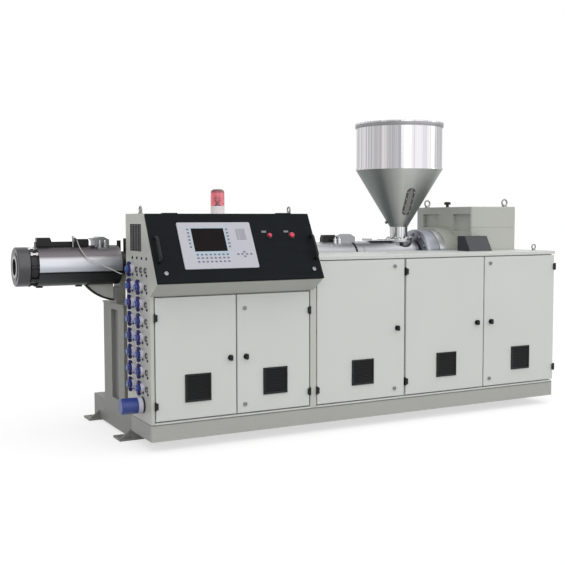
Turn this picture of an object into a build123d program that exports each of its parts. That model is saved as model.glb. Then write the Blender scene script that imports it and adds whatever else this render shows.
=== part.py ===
from build123d import *
import math
import os

# Conical twin-screw plastic extruder, in millimetres.
# X runs along the machine from the die end to the gearbox end, Y runs from the doors to the rear,
# Z is up from the floor. Places are measured from the left front corner of the base on the floor.

# Clearances shared by all pieces
door_gap = 7
seam_gap = 8
fit_gap = 0.3
overrun = 5

# Bays along the machine, from the die end
cabinet_length = 1016
left_bay_length = 664
middle_bay_length = 630
right_bay_length = 620
base_end_inset = 13
hinge_seam_x = cabinet_length + left_bay_length
plain_seam_x = hinge_seam_x + middle_bay_length
enclosure_right = plain_seam_x + right_bay_length
base_length = enclosure_right - base_end_inset

# Axis of the screws, and what its place sets
barrel_y = 660
barrel_z = 1007
rear_reach = 434
deck_over_barrel = 51
base_width = barrel_y + rear_reach
enclosure_top = barrel_z + deck_over_barrel

# Base
base_top = 155
base_beam = 80
deck_thickness = 8
plinth_depth = 340
plinth_clearance = 58
plinth_sheet = 20

# Foot plates
foot_thickness = 12
foot_reach = 72
foot_overlap = 90
foot_width = 128
foot_setback = 30
foot_gusset_height = 50
foot_gusset_thickness = 12
foot_hole_radius = 11

# Control cabinet and the console on top of it
wall = 20
cabinet_depth = 400
fascia_foot_z = 859
nose_reach = 132
nose_rise = 82
slope_rise = 370
console_top_y = 68
lid_thickness = 15
lid_gap = 5
lid_edge_radius = 3
lid_hinge_shares = (0.15, 0.85)
fascia_thickness = 15
nose_z = fascia_foot_z + nose_rise
console_top_z = nose_z + slope_rise

# Machine enclosure
frame_depth = 30
frame_bar = 40
sill_height = 8
sill_lip = 4
head_height = 23
deck_slot_width = 280
deck_end_clearance = 12
deck_edge_radius = 4

# Doors
door_thickness = 24
door_edge_radius = 2.5
cabinet_seam_share = 0.507
cabinet_seam_x = cabinet_length * cabinet_seam_share
hinge_seam_width = 14
right_overlap = 6
hinge_pin_radius = 4
hinge_axis_offset = 6
hinge_block_width = 18
hinge_block_height = 36
hinge_ear_height = 6
hinge_leaf = 3
low_hinge_rise = 86
cabinet_hinge_drop = 110
enclosure_hinge_drop = 78

# Knobs and locks on the doors
first_knob_inset = 36
knob_inset = 54
cabinet_knob_share = 0.477
enclosure_knob_share = 0.5
knob_plate_radius = 16
knob_plate_height = 4
knob_stem_radius = 9
knob_stem_height = 10
knob_grip_length = 34
knob_grip_width = 19
knob_height = 24
knob_edge_radius = 4
lock_inset = 47
third_lock_inset = 73
lock_rise = 50
cabinet_lock_drop = 79
enclosure_lock_drop = 43
lock_radius = 12
lock_height = 7
lock_chamfer = 1.5
lock_recess_radius = 8
lock_recess_depth = 4
lock_key_radius = 6

# Louvred vents in the doors
vent_size = 156
vent_rise = 94
vent_shift = 7
vent_depth = 10
vent_floor = 3
vent_border = 10
vent_chamfer = 3
vent_slats = 13
slat_height_share = 0.8

# Barrel line, from the die face to the gearbox
die_reach = 582
die_flange_radius = 114
die_flange_length = 77
die_flange_chamfer = 7
die_bore_radius = 49
die_ring_radius = 82
die_face_relief = 3
collar_length = 43
collar_radius = 98
stud_count = 8
stud_radius = 7
stud_circle_radius = 104
stud_nut_radius = 12
stud_nut_height = 12
barrel_radius = 80
cover_radius = 119
cover_step = 3
cover_seam_drop = 34
cover_seam = 5
cover_joint = 4
front_cover_reach = 25
middle_cover_start = 95
middle_cover_inset = 26
rear_cover_inset = 30
flange_to_hopper = 118
rear_flange_length = 107
rear_flange_radius = 196
rear_flange_edge = 22
flange_bolt_count = 12
flange_bolt_circle = 160
flange_bolt_radius = 13
flange_bolt_height = 11
flange_bolt_hex = 6
ring_length = 53
ring_radius = 199
distance_length = 100
distance_radius = 205
screw_recess_depth = 45
screw_bore_radius = 46
screw_radius = 22
screw_tip_length = 40
die_face_x = -die_reach
die_back_x = die_face_x + die_flange_length
front_cover_start = die_back_x + collar_length

# Gearbox
gearbox_end_gap = 68
gearbox_length = 397
gearbox_front_reach = 335
gearbox_rear_reach = 302
gearbox_foot_drop = 307
gearbox_seam_rise = 210
gearbox_cover_height = 145
gearbox_corner_radius = 10
gearbox_seam_chamfer = 2
stand_inset = 30
recess_depth = 25
recess_width = 188
rear_recess_offset = 34
front_recess_inset = 18
recess_height = 94
front_recess_drop = 27
breather_inset = 51
breather_radius = 24
breather_stem_radius = 11
breather_height = 38
breather_cap_height = 20
gearbox_left = enclosure_right - gearbox_end_gap - gearbox_length
gearbox_front = barrel_y - gearbox_front_reach
gearbox_rear = barrel_y + gearbox_rear_reach
gearbox_seam_z = barrel_z + gearbox_seam_rise
gearbox_top = gearbox_seam_z + gearbox_cover_height
rear_flange_x = gearbox_left - distance_length - ring_length - rear_flange_length
hopper_x = rear_flange_x - flange_to_hopper

# Drive hood
hood_overhang = 120
hood_length = 190
hood_foot_reach = 137
hood_top_reach = 78
hood_height = 102
hood_edge_radius = 4

# Barrel support
post_gap = 62
post_length = 60
post_rear_reach = 200
post_drop = 230
post_cap = 10
post_cap_lip = 5
post_recess_front = 88
post_recess_rear = 42
post_recess_depth = 22
post_recess_margin = 40
pillar_height = 95
saddle_width = 120
gusset_thickness = 12
gusset_radius = 268
gusset_centre_x = 40
gusset_centre_rise = 60
edging_thickness = 11
edging_width = 30
post_top = barrel_z - post_drop

# Feed throat, slide gate and hopper
hopper_radius = 300
hopper_sheet = 4
hopper_neck_radius = 62
hopper_neck_height = 77
hopper_cone_height = 395
hopper_cylinder_height = 324
hopper_rim_width = 10
hopper_rim_height = 12
hopper_rim_edge = 3
hopper_band_width = 6
hopper_band_height = 10
throat_radius = 50
throat_flange_radius = 93
throat_flange_thickness = 12
throat_flange_edge = 3
throat_flange_rise = 108
throat_block_width = 150
throat_block_depth = 90
gate_slot = 6
gate_thickness = 5
gate_width = 124
gate_reach = 267
gate_lip_height = 16
gate_lip_thickness = 4
gate_guide_reach = 140
gate_guide_thickness = 5
throat_flange_z = barrel_z + throat_flange_rise
throat_flange_top = throat_flange_z + throat_flange_thickness
gate_slot_top = throat_flange_top + gate_slot
neck_collar_top = gate_slot_top + throat_flange_thickness
hopper_neck_top = neck_collar_top + hopper_neck_height
hopper_cone_top = hopper_neck_top + hopper_cone_height
hopper_rim_top = hopper_cone_top + hopper_cylinder_height

# Sight window and level plug in the cone
window_turn = -101
window_height_share = 0.44
window_length = 212
window_width = 60
window_border = 9
window_lip = 3
window_proud = 4
cone_plug_turn = 152
cone_plug_rise = 34
cone_plug_radius = 11
cone_plug_reach = 16

# Vent ports on the barrel. Outline shares are of the cap's length and of its height over the cover.
front_cap_start = -136
front_cap_length = 103
rear_cap_offset = 535
rear_cap_length = 144
cap_height = 50
cap_width = 90
front_cap_shares = ((0.155, 0.48), (0, 0.84), (0.26, 0.86), (0.42, 1), (0.69, 1), (1, 0.66))
rear_cap_shares = ((0, 0.68), (0.33, 0.76), (0.56, 1), (0.75, 1), (1, 0.6))
clamp_length = 66
clamp_reach = 74
clamp_height = 8
clamp_stud_pitch = 32
clamp_stud_reach = 60
clamp_stud_radius = 5
clamp_stud_height = 44
clamp_nut_radius = 11
clamp_nut_height = 10
clamp_nuts = 3
front_clamp_x = -80
rear_clamp_lead = 8

# Heater terminals along the top of the covers, and what else stands on the barrel there
raceway_width = 44
raceway_end = -150
raceway_height = 24
tall_box = 48
low_box = 38
box_slant = 9
tall_box_start = 8
tall_box_length = 75
low_box_end_inset = 4
low_box_length = 78
rear_box_length = 96
rear_box_height = 45
strap_offset = 419
strap_width = 14
strap_thickness = 2
jacket_joint_offset = 351
lug_length = 36
lug_width = 28
lug_height = 8
lug_places = (2, 234)
pipe_radius = 12
pipe_inset = 15
pipe_heights = (146, 158)
probe_radius = 5
probe_x = -250
probe_reach = 40
probe_height = 175
lead_radius = 2.5
lead_head_radius = 6
lead_head_length = 14
lead_gland_radius = 9
lead_gland_length = 12

# Route of the thermocouple lead, from the probe's head to its gland in the end wall
lead_route = [(-242.5, 617.5, 1171.8), (-226, 612, 1158), (-223, 602, 1132), (-217, 576, 1107),
              (-206, 551, 1080), (-188, 537, 1054), (-155, 511, 1034), (-122, 475, 1015), (-92, 437, 999),
              (-64, 405, 982), (-36, 382, 965), (-12, 382, 965)]
lead_bend_share = 0.45

# Beacon and lifting eyes
beacon_radius = 41
beacon_base_height = 46
beacon_base_edge = 4
beacon_dome_radius = 38
beacon_dome_height = 97
beacon_top_radius = 20
beacon_ribs = 5
beacon_rib_reach = 2
beacon_rib_height = 3
beacon_rib_pitch = 14
eye_wire_radius = 5
eye_ring_radius = 16
large_eye_wire_radius = 6
large_eye_ring_radius = 22
eye_collar_height = 8
roof_fitting_y = 240
roof_eye_inset = 35
deck_eye_inset = 60
deck_eye_y = 145
gearbox_eye_inset = 55

# End wall fittings
socket_pitch = 74
socket_rows = 8
socket_top_drop = 102
socket_low_rise = 97
socket_front_y = 68
socket_ring_radius = 17
socket_hole_radius = 11
socket_ring_height = 6
socket_notch = 9
plug_collar_radius = 27
plug_collar_length = 17
plug_radius = 24
plug_length = 34
plug_nose_radius = 17
plug_nose_length = 42
plug_edge = 2
main_plug_y = 140
main_plug_rise = 90
main_plug_radius = 45
main_plug_length = 131
main_plug_ring_radius = 49
main_plug_ring_start = 12
main_plug_ring_length = 24
main_plug_edge = 5
grille_depth_offset = 78
grille_length = 190
grille_top_drop = 58
grille_height = 152
grille_depth = 10
grille_floor = 5
grille_slats = 15
grille_dividers = 5
grille_divider_width = 3
grille_rear_y = cabinet_depth - grille_depth_offset
grille_front_y = grille_rear_y - grille_length
grille_top_z = console_top_z - grille_top_drop
grille_bottom_z = grille_top_z - grille_height
main_plug_z = base_top + main_plug_rise

# Console fittings, measured down the slope from its top edge
hmi_left = 167
hmi_right = 612
hmi_top = 60
hmi_bottom = 346
hmi_thickness = 6
hmi_corner_radius = 8
screen_depth = 2
screen_x_shares = (0.175, 0.616)
screen_y_shares = (0.13, 0.63)
side_key_x_shares = (0.130, 0.658)
side_key_y_shares = (0.154, 0.531)
side_keys = 6
row_key_x_shares = (0.198, 0.602)
row_key_y_shares = (0.70, 0.773, 0.85)
row_keys = 8
bar_x_shares = (0.782, 0.81)
pad_x_shares = (0.822, 0.908)
pad_y_shares = (0.15, 0.388)
cluster_x_share = 0.838
cluster_y_share = 0.703
cluster_pitch = 14
cluster_reach = 40
key_length = 12
key_width = 9
key_height = 1.2
handle_reach = 36
handle_bar_radius = 9
handle_bend_radius = 20
handle_top = 147
handle_length = 160
handle_inset = 28
button_top = 147
button_shares = (0.275, 0.631)
button_radii = (12, 15)
button_height = 18
button_edge = 3
button_bezel = 5
button_plate_length = 30
button_plate_width = 13
button_plate_thickness = 1
button_plate_offset = 28
lid_lock_inset = 55

middle_x = (die_face_x + base_length + foot_reach) / 2
middle_y = (base_width - nose_reach) / 2
to_origin = Pos(-middle_x, -middle_y, 0)


def save(node, shape):
    export_step(to_origin * shape, "parts/" + node + ".step")


def block(xs, ys, zs):
    sizes = [high - low for low, high in (xs, ys, zs)]
    centre = [(low + high) / 2 for low, high in (xs, ys, zs)]
    return Pos(*centre) * Box(*sizes)


def rod_x(radius, xs, y=barrel_y, z=barrel_z):
    return Pos((xs[0] + xs[1]) / 2, y, z) * Rot(0, 90, 0) * Cylinder(radius, xs[1] - xs[0])


def rod_y(radius, ys, x, z):
    return Pos(x, (ys[0] + ys[1]) / 2, z) * Rot(90, 0, 0) * Cylinder(radius, ys[1] - ys[0])


def rod_z(radius, zs, x=0, y=0):
    return Pos(x, y, (zs[0] + zs[1]) / 2) * Cylinder(radius, zs[1] - zs[0])


def tube_z(outer, inner, zs, x, y):
    return rod_z(outer, zs, x, y) - rod_z(inner, longer(zs), x, y)


def longer(span):
    """A span with an overrun at both ends, for cuts."""
    return (span[0] - overrun, span[1] + overrun)


def about(middle, width):
    """A span of the given width about a middle."""
    return (middle - width / 2, middle + width / 2)


def prism_x(points, xs):
    """A solid of one outline in Y and Z, drawn out along X."""
    outline = make_face(Polyline(*points, close=True))
    side = Plane(origin=(xs[0], 0, 0), x_dir=(0, 1, 0), z_dir=(1, 0, 0))
    return extrude(side * outline, xs[1] - xs[0])


def prism_y(points, ys):
    """A solid of one outline in X and Z, drawn out along Y."""
    outline = make_face(Polyline(*points, close=True))
    side = Plane(origin=(0, ys[1], 0), x_dir=(1, 0, 0), z_dir=(0, -1, 0))
    return extrude(side * outline, ys[1] - ys[0])


def top_edges(shape, axis=Axis.Z):
    """The edges at the far end of a shape along an axis."""
    return shape.edges().group_by(axis)[-1]


def round_edges(shape):
    return shape.edges().filter_by(GeomType.CIRCLE)


def spread(low, high, count):
    """Evenly spaced places from low to high."""
    return [low + (high - low) * i / (count - 1) for i in range(count)]


# Console slope: from its top edge down to the nose
slope_y = -nose_reach - console_top_y
slope_length = math.hypot(slope_y, slope_rise)
lid_normal = (0, -slope_rise / slope_length, -slope_y / slope_length)
lid_along = (1, 0, 0)
lid_plane = Plane(origin=(0, console_top_y, console_top_z), x_dir=lid_along, z_dir=lid_normal)


def on_lid(shape):
    """Places a shape drawn with X along the lid, -Y down its slope and Z out of its face."""
    return lid_plane.location * shape


def on_door(shape, x, z):
    """Places a shape drawn with Z out of a door's face and Y up it."""
    return Pos(x, 0, z) * Rot(90, 0, 0) * shape


def slope_point(down, out):
    """The Y and Z of a point down the slope and out of its face."""
    y = console_top_y + slope_y / slope_length * down + lid_normal[1] * out
    z = console_top_z - slope_rise / slope_length * down + lid_normal[2] * out
    return (y, z)


def console_profile():
    """Cabinet side outline, with its slope set back behind the lid."""
    back = lid_thickness + lid_gap
    upper = slope_point(0, -back)
    lower = slope_point(slope_length, -back)
    rise = (console_top_z - upper[1]) / (slope_rise / slope_length)
    top_front = (slope_point(-rise, -back)[0], console_top_z)
    return [(0, base_top), (cabinet_depth, base_top), (cabinet_depth, console_top_z), top_front, lower,
            (0, fascia_foot_z)]


def base_nodes():
    beam_heights = (foot_thickness, base_top - deck_thickness)
    rail_fronts = (plinth_depth, base_width - base_beam)
    rails = Part() + [block((0, base_length), (y, y + base_beam), beam_heights) for y in rail_fronts]
    cross_ys = (plinth_depth + base_beam, base_width - base_beam)
    cross_lefts = (0, (base_length - base_beam) / 2, base_length - base_beam)
    crosses = Part() + [block((x, x + base_beam), cross_ys, beam_heights) for x in cross_lefts]
    deck = block((0, base_length), (0, base_width), (base_top - deck_thickness, base_top))
    plinth_heights = (plinth_clearance, base_top - deck_thickness)
    front = block((0, base_length), (0, plinth_sheet), plinth_heights)
    end_lefts = (0, base_length - plinth_sheet)
    ends = Part() + [block((x, x + plinth_sheet), (plinth_sheet, plinth_depth), plinth_heights)
                     for x in end_lefts]
    save("base_rails", rails)
    save("base_cross_beams", crosses)
    save("base_deck", deck)
    save("plinth_front", front)
    save("plinth_ends", ends)


def foot(end_x, direction, y):
    """One foot plate with its gusset, reaching out past an end of the base."""
    outer = end_x + direction * foot_reach
    inner = end_x - direction * foot_overlap
    plate = block(sorted((outer, inner)), (y, y + foot_width), (0, foot_thickness))
    plate -= rod_z(foot_hole_radius, longer((0, foot_thickness)), end_x + direction * foot_reach / 2,
                   y + foot_width - foot_setback)
    toe = end_x + direction * (foot_reach - foot_gusset_thickness)
    points = [(end_x, foot_thickness), (toe, foot_thickness), (end_x, foot_thickness + foot_gusset_height)]
    gusset_front = y + foot_setback - foot_gusset_thickness
    return plate + prism_y(points, (gusset_front, gusset_front + foot_gusset_thickness))


def foot_nodes():
    fronts = (plinth_depth, base_width - foot_width)
    feet = Part() + [foot(x, direction, y) for x, direction in ((0, -1), (base_length, 1)) for y in fronts]
    save("foot_plates", feet)


def frame_plate(xs, zs, posts):
    """A frame of flat bar behind the doors, with posts at the given places."""
    ys = (door_thickness + door_gap, door_thickness + door_gap + frame_depth)
    plate = block(xs, ys, zs)
    half_bar = frame_bar / 2
    edges = [xs[0] + half_bar, *posts, xs[1] - half_bar]
    for left, right in zip(edges, edges[1:]):
        plate -= block((left + half_bar, right - half_bar), longer(ys),
                       (zs[0] + frame_bar, zs[1] - frame_bar))
    return plate


def sill(xs):
    """Strip under the doors, standing a little proud of the plinth."""
    return block(xs, (-sill_lip, door_thickness + door_gap), (base_top, base_top + sill_height))


def cabinet_nodes():
    profile = console_profile()
    end_wall = prism_x(profile, (0, wall))
    end_wall -= block((-overrun, grille_depth), (grille_front_y, grille_rear_y),
                      (grille_bottom_z, grille_top_z))
    save("cabinet_end_wall", end_wall)
    save("cabinet_side_wall", prism_x(profile, (cabinet_length - wall, cabinet_length)))
    inside = (wall, cabinet_length - wall)
    roof_z = console_top_z - wall
    save("cabinet_back", block(inside, (cabinet_depth - wall, cabinet_depth), (base_top, roof_z)))
    roof_front = profile[3][0] + wall
    save("cabinet_roof", block(inside, (roof_front, cabinet_depth), (roof_z, console_top_z)))
    lip = profile[4]
    fascia_rise = lip[1] - fascia_foot_z
    run = math.hypot(lip[0], fascia_rise)
    inward_y = fascia_rise / run * fascia_thickness
    inward_z = -lip[0] / run * fascia_thickness
    fascia_points = [(0, fascia_foot_z), lip, (lip[0] + inward_y, lip[1] + inward_z),
                     (inward_y, fascia_foot_z + inward_z)]
    save("cabinet_fascia", prism_x(fascia_points, inside))
    frame = frame_plate(inside, (base_top, fascia_foot_z), [cabinet_seam_x])
    save("cabinet_front_frame", frame + sill(inside))


def grille_node():
    """Louvred grille let into the end wall of the cabinet."""
    ys = (grille_front_y + fit_gap, grille_rear_y - fit_gap)
    zs = (grille_bottom_z + fit_gap, grille_top_z - fit_gap)
    grille = block((grille_floor, grille_depth), ys, zs)
    pitch = (zs[1] - zs[0]) / grille_slats
    for i in range(grille_slats):
        low = zs[0] + i * pitch
        slat_top = low + pitch * slat_height_share
        grille += prism_y([(grille_floor, low), (grille_floor, slat_top), (0, low)], ys)
    half = grille_divider_width / 2
    for y in spread(ys[0] + half, ys[1] - half, grille_dividers):
        grille += block((0, grille_floor), about(y, grille_divider_width), zs)
    save("end_wall_grille", grille)


def plug(radii, lengths, edge, y, z):
    """A round plug standing out of the end wall: collar, body and nose, its nose edge rounded."""
    start = 0
    shape = Part()
    for radius, length in zip(radii, lengths):
        step = rod_x(radius, (-length, -start), y, z)
        shape += chamfer(round_edges(step).sort_by(Axis.X)[0], edge)
        start = length
    return shape


def socket(y, z):
    """An empty round socket with an open ring."""
    ring = rod_x(socket_ring_radius, (-socket_ring_height, 0), y, z)
    ring -= rod_x(socket_hole_radius, longer((-socket_ring_height, 0)), y, z)
    return ring - block(longer((-socket_ring_height, 0)), (y - 2 * socket_ring_radius, y),
                        about(z, socket_notch))


def socket_nodes():
    """Heater plugs in two columns, the empty sockets beside them and the large supply plug below."""
    columns = [socket_front_y + i * socket_pitch for i in range(4)]
    rows = spread(grille_bottom_z - socket_top_drop, main_plug_z + socket_low_rise, socket_rows)
    pieces = [socket(columns[0], z) for z in rows] + [socket(y, rows[0]) for y in columns[1:3]]
    radii = (plug_collar_radius, plug_radius, plug_nose_radius)
    lengths = (plug_collar_length, plug_length, plug_nose_length)
    pieces += [plug(radii, lengths, plug_edge, columns[3], z) for z in rows]
    pieces += [plug(radii, lengths, plug_edge, columns[1], z) for z in rows[1:]]
    main = plug((main_plug_radius,), (main_plug_length,), main_plug_edge, main_plug_y, main_plug_z)
    ring_end = -main_plug_ring_start - main_plug_ring_length
    main += rod_x(main_plug_ring_radius, (ring_end, -main_plug_ring_start), main_plug_y, main_plug_z)
    end_x, end_y, end_z = lead_route[-1]
    gland = rod_x(lead_gland_radius, (end_x, end_x + lead_gland_length), end_y, end_z)
    save("cable_plugs", Part() + pieces + [main, gland])


def hinge_leaf_fixed(x, z, leaf_side):
    """Pin, ears and leaf of one door hinge, carried by the frame."""
    axis_y = -hinge_axis_offset
    half = hinge_block_height / 2 + fit_gap
    reach = half + hinge_ear_height
    ear_radius = hinge_pin_radius + 1.5 * fit_gap
    pin = rod_z(hinge_pin_radius, (z - reach, z + reach), x, axis_y)
    leaf_front = door_gap - hinge_axis_offset / 2
    leaf_back = door_thickness + door_gap
    leaf = block(about(x, hinge_leaf), (leaf_front, leaf_back), (z - reach, z + reach))
    piece = pin + leaf
    for low in (z - reach, z + half):
        heights = (low, low + hinge_ear_height)
        piece += rod_z(ear_radius, heights, x, axis_y)
        piece += block(about(x, hinge_leaf), (axis_y, leaf_front), heights)
    if leaf_side:
        sides = sorted((x, x + leaf_side * door_gap / 2))
        piece += block(sides, (leaf_front, leaf_back), (z - reach, z + reach))
    return piece


def hinge_block(x, z, side):
    """The half of a hinge on the door, bored for the pin and rounded behind it, so that it turns clear."""
    axis_y = -hinge_axis_offset
    tip = x + side * (hinge_block_width - hinge_pin_radius)
    back, front = (x, 0), (x, 2 * axis_y)
    outline = Polyline(back, (tip, 0), (tip, 2 * axis_y), front)
    outline += ThreePointArc(front, (x - side * hinge_axis_offset, axis_y), back)
    low = z - hinge_block_height / 2
    body = extrude(Pos(0, 0, low) * make_face(outline), hinge_block_height, dir=(0, 0, 1))
    return body - rod_z(hinge_pin_radius + fit_gap, longer((low, low + hinge_block_height)), x, axis_y)


def vent(centre_x, low_z):
    """Louvred vent on the face of a door: a bevelled frame round a bank of slats."""
    xs = about(centre_x, vent_size)
    zs = (low_z, low_z + vent_size)
    piece = block(xs, (-vent_depth, 0), zs)
    piece = chamfer(piece.faces().sort_by(Axis.Y)[0].edges(), vent_chamfer)
    inner_xs = (xs[0] + vent_border, xs[1] - vent_border)
    inner_zs = (zs[0] + vent_border, zs[1] - vent_border)
    piece -= block(inner_xs, (-vent_depth - overrun, -vent_floor), inner_zs)
    pitch = (inner_zs[1] - inner_zs[0]) / vent_slats
    for i in range(vent_slats):
        low = inner_zs[0] + i * pitch
        points = [(-vent_floor, low), (-vent_depth, low), (-vent_floor, low + pitch * slat_height_share)]
        piece += prism_x(points, inner_xs)
    return piece


def door_knob():
    """Oval turning knob on a round plate."""
    oval = SlotOverall(knob_grip_length, knob_grip_width, rotation=90)
    grip = extrude(oval, knob_height - knob_stem_height)
    grip = fillet(top_edges(grip), knob_edge_radius)
    return (rod_z(knob_plate_radius, (0, knob_plate_height)) + rod_z(knob_stem_radius, (0, knob_stem_height))
            + Pos(0, 0, knob_stem_height) * grip)


def quarter_lock():
    """Round quarter-turn lock with a three-sided key post in its recess."""
    body = rod_z(lock_radius, (0, lock_height))
    body = chamfer(top_edges(body), lock_chamfer)
    body -= rod_z(lock_recess_radius, (lock_height - lock_recess_depth, lock_height + overrun))
    return body + extrude(RegularPolygon(lock_key_radius, 3), lock_height)


def door_nodes():
    cabinet_door_top = fascia_foot_z - door_gap
    enclosure_door_top = enclosure_top - head_height - door_gap
    bottom = base_top + sill_height + door_gap
    half_seam = seam_gap / 2
    half_hinge_seam = hinge_seam_width / 2
    half_gap = door_gap / 2
    cabinet_door = dict(top=cabinet_door_top, hinge_drop=cabinet_hinge_drop, knob_share=cabinet_knob_share,
                        knob_inset=knob_inset, lock_drop=cabinet_lock_drop, lock_inset=lock_inset)
    enclosure_door = dict(top=enclosure_door_top, hinge_drop=enclosure_hinge_drop, knob_inset=knob_inset,
                          knob_share=enclosure_knob_share, lock_drop=enclosure_lock_drop,
                          lock_inset=lock_inset)
    doors = [
        cabinet_door | dict(xs=(wall + door_gap, cabinet_seam_x - half_seam), side=1, leaf=-1,
                            axis=wall + half_gap, knob_inset=first_knob_inset, locks=False),
        cabinet_door | dict(xs=(cabinet_seam_x + half_seam, cabinet_length - wall - door_gap), side=-1,
                            leaf=1, axis=cabinet_length - wall - half_gap, locks=True),
        enclosure_door | dict(xs=(cabinet_length + wall + door_gap, hinge_seam_x - half_hinge_seam), side=1,
                              leaf=-1, axis=cabinet_length + wall + half_gap, lock_inset=third_lock_inset,
                              locks=True),
        enclosure_door | dict(xs=(hinge_seam_x + half_hinge_seam, plain_seam_x - half_seam), side=1, leaf=0,
                              axis=hinge_seam_x + half_hinge_seam - half_gap, locks=False),
        enclosure_door | dict(xs=(plain_seam_x + half_seam, enclosure_right - right_overlap), side=-1, leaf=0,
                              axis=enclosure_right - right_overlap / 2, locks=True),
    ]
    hinges = []
    for number, door in enumerate(doors, start=1):
        name = f"door_{number}"
        leaf = block(door["xs"], (0, door_thickness), (bottom, door["top"]))
        save(name, fillet(leaf.faces().sort_by(Axis.Y)[0].edges(), door_edge_radius))
        side = door["side"]
        free_edge = door["xs"][1] if side > 0 else door["xs"][0]
        fittings = [vent(sum(door["xs"]) / 2 + vent_shift, bottom + vent_rise)]
        knob_z = bottom + (door["top"] - bottom) * door["knob_share"]
        fittings.append(on_door(door_knob(), free_edge - side * door["knob_inset"], knob_z))
        if door["locks"]:
            lock_x = free_edge - side * door["lock_inset"]
            fittings += [on_door(quarter_lock(), lock_x, z) for z in (bottom + lock_rise,
                                                                      door["top"] - door["lock_drop"])]
        for z in (bottom + low_hinge_rise, door["top"] - door["hinge_drop"]):
            fittings.append(hinge_block(door["axis"], z, side))
            hinges.append(hinge_leaf_fixed(door["axis"], z, door["leaf"]))
        save(name + "_fittings", Part() + fittings)
    return hinges


def lid_hinge(x):
    """Fixed half of a console lid hinge, on the front edge of the roof."""
    span = about(x, 2 * hinge_block_height)
    pin = rod_x(hinge_pin_radius, span, console_top_y, console_top_z)
    arm = block(span, (console_top_y, console_profile()[3][0] + wall + hinge_block_width),
                (console_top_z, console_top_z + hinge_pin_radius))
    return pin + arm


def terminal():
    """Operator terminal: a screen sunk in a raised plate, with blocks of keys round it."""
    width = hmi_right - hmi_left
    height = hmi_bottom - hmi_top
    key_top = hmi_thickness + key_height

    def across(share):
        return hmi_left + width * share

    def down(share):
        return -hmi_top - height * share

    plate = block((hmi_left, hmi_right), (-hmi_bottom, -hmi_top), (0, hmi_thickness))
    plate = fillet(plate.edges().filter_by(Axis.Z), hmi_corner_radius)
    plate -= block([across(s) for s in screen_x_shares], sorted(down(s) for s in screen_y_shares),
                   (hmi_thickness - screen_depth, hmi_thickness + overrun))
    places = [(across(s), y) for s in side_key_x_shares
              for y in spread(*[down(share) for share in side_key_y_shares], side_keys)]
    places += [(x, down(s)) for s in row_key_y_shares
               for x in spread(*[across(share) for share in row_key_x_shares], row_keys)]
    middle = (across(cluster_x_share), down(cluster_y_share))
    for step in (-1, 1):
        places += [(middle[0] + step * reach, middle[1]) for reach in (cluster_pitch, cluster_reach)]
        places.append((middle[0], middle[1] + step * cluster_pitch))
    keys = [block(about(x, key_length), about(y, key_width), (0, key_top)) for x, y in places]
    for shares in (bar_x_shares, pad_x_shares):
        keys.append(block([across(s) for s in shares], sorted(down(s) for s in pad_y_shares), (0, key_top)))
    return plate + keys


def lid_handle(x):
    """D-handle of round bar, bent over at both ends."""
    ends = (-handle_top - handle_bar_radius, -handle_top - handle_length + handle_bar_radius)
    path = FilletPolyline((x, ends[0], 0), (x, ends[0], handle_reach), (x, ends[1], handle_reach),
                          (x, ends[1], 0), radius=handle_bend_radius)
    section = Pos(x, ends[0], 0) * Circle(handle_bar_radius)
    return sweep(section, path=path)


def push_button(x, radius):
    """Push button in a bezel, with a blank plate beside it."""
    head = rod_z(radius, (0, button_height), x, -button_top)
    head = fillet(top_edges(head), button_edge)
    bezel = rod_z(radius + button_bezel, (0, button_bezel), x, -button_top)
    plate = block(about(x - button_plate_offset, button_plate_length),
                  about(button_plate_offset - button_top, button_plate_width), (0, button_plate_thickness))
    return [head + chamfer(top_edges(bezel), button_plate_thickness), plate]


def console_nodes():
    lid = block((0, cabinet_length), (-slope_length, 0), (-lid_thickness, 0))
    lid = fillet(top_edges(lid), lid_edge_radius)
    hinge_xs = [cabinet_length * share for share in lid_hinge_shares]
    for x in hinge_xs:
        lid -= rod_x(hinge_pin_radius + fit_gap, about(x, 2 * hinge_block_height + 4 * fit_gap), 0, 0)
    save("console_lid", on_lid(lid))
    save("operator_terminal", on_lid(terminal()))
    panel = cabinet_length - hmi_right
    buttons = []
    for share, radius in zip(button_shares, button_radii):
        buttons += push_button(hmi_right + panel * share, radius)
    save("console_buttons", on_lid(Part() + buttons))
    pieces = [lid_handle(x) for x in (handle_inset, cabinet_length - handle_inset)]
    lock_y = -slope_length + lid_lock_inset
    pieces += [Pos(x, lock_y, 0) * quarter_lock() for x in (lid_lock_inset, cabinet_length - lid_lock_inset)]
    save("console_handles_and_locks", on_lid(Part() + pieces))
    return [lid_hinge(x) for x in hinge_xs]


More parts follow.
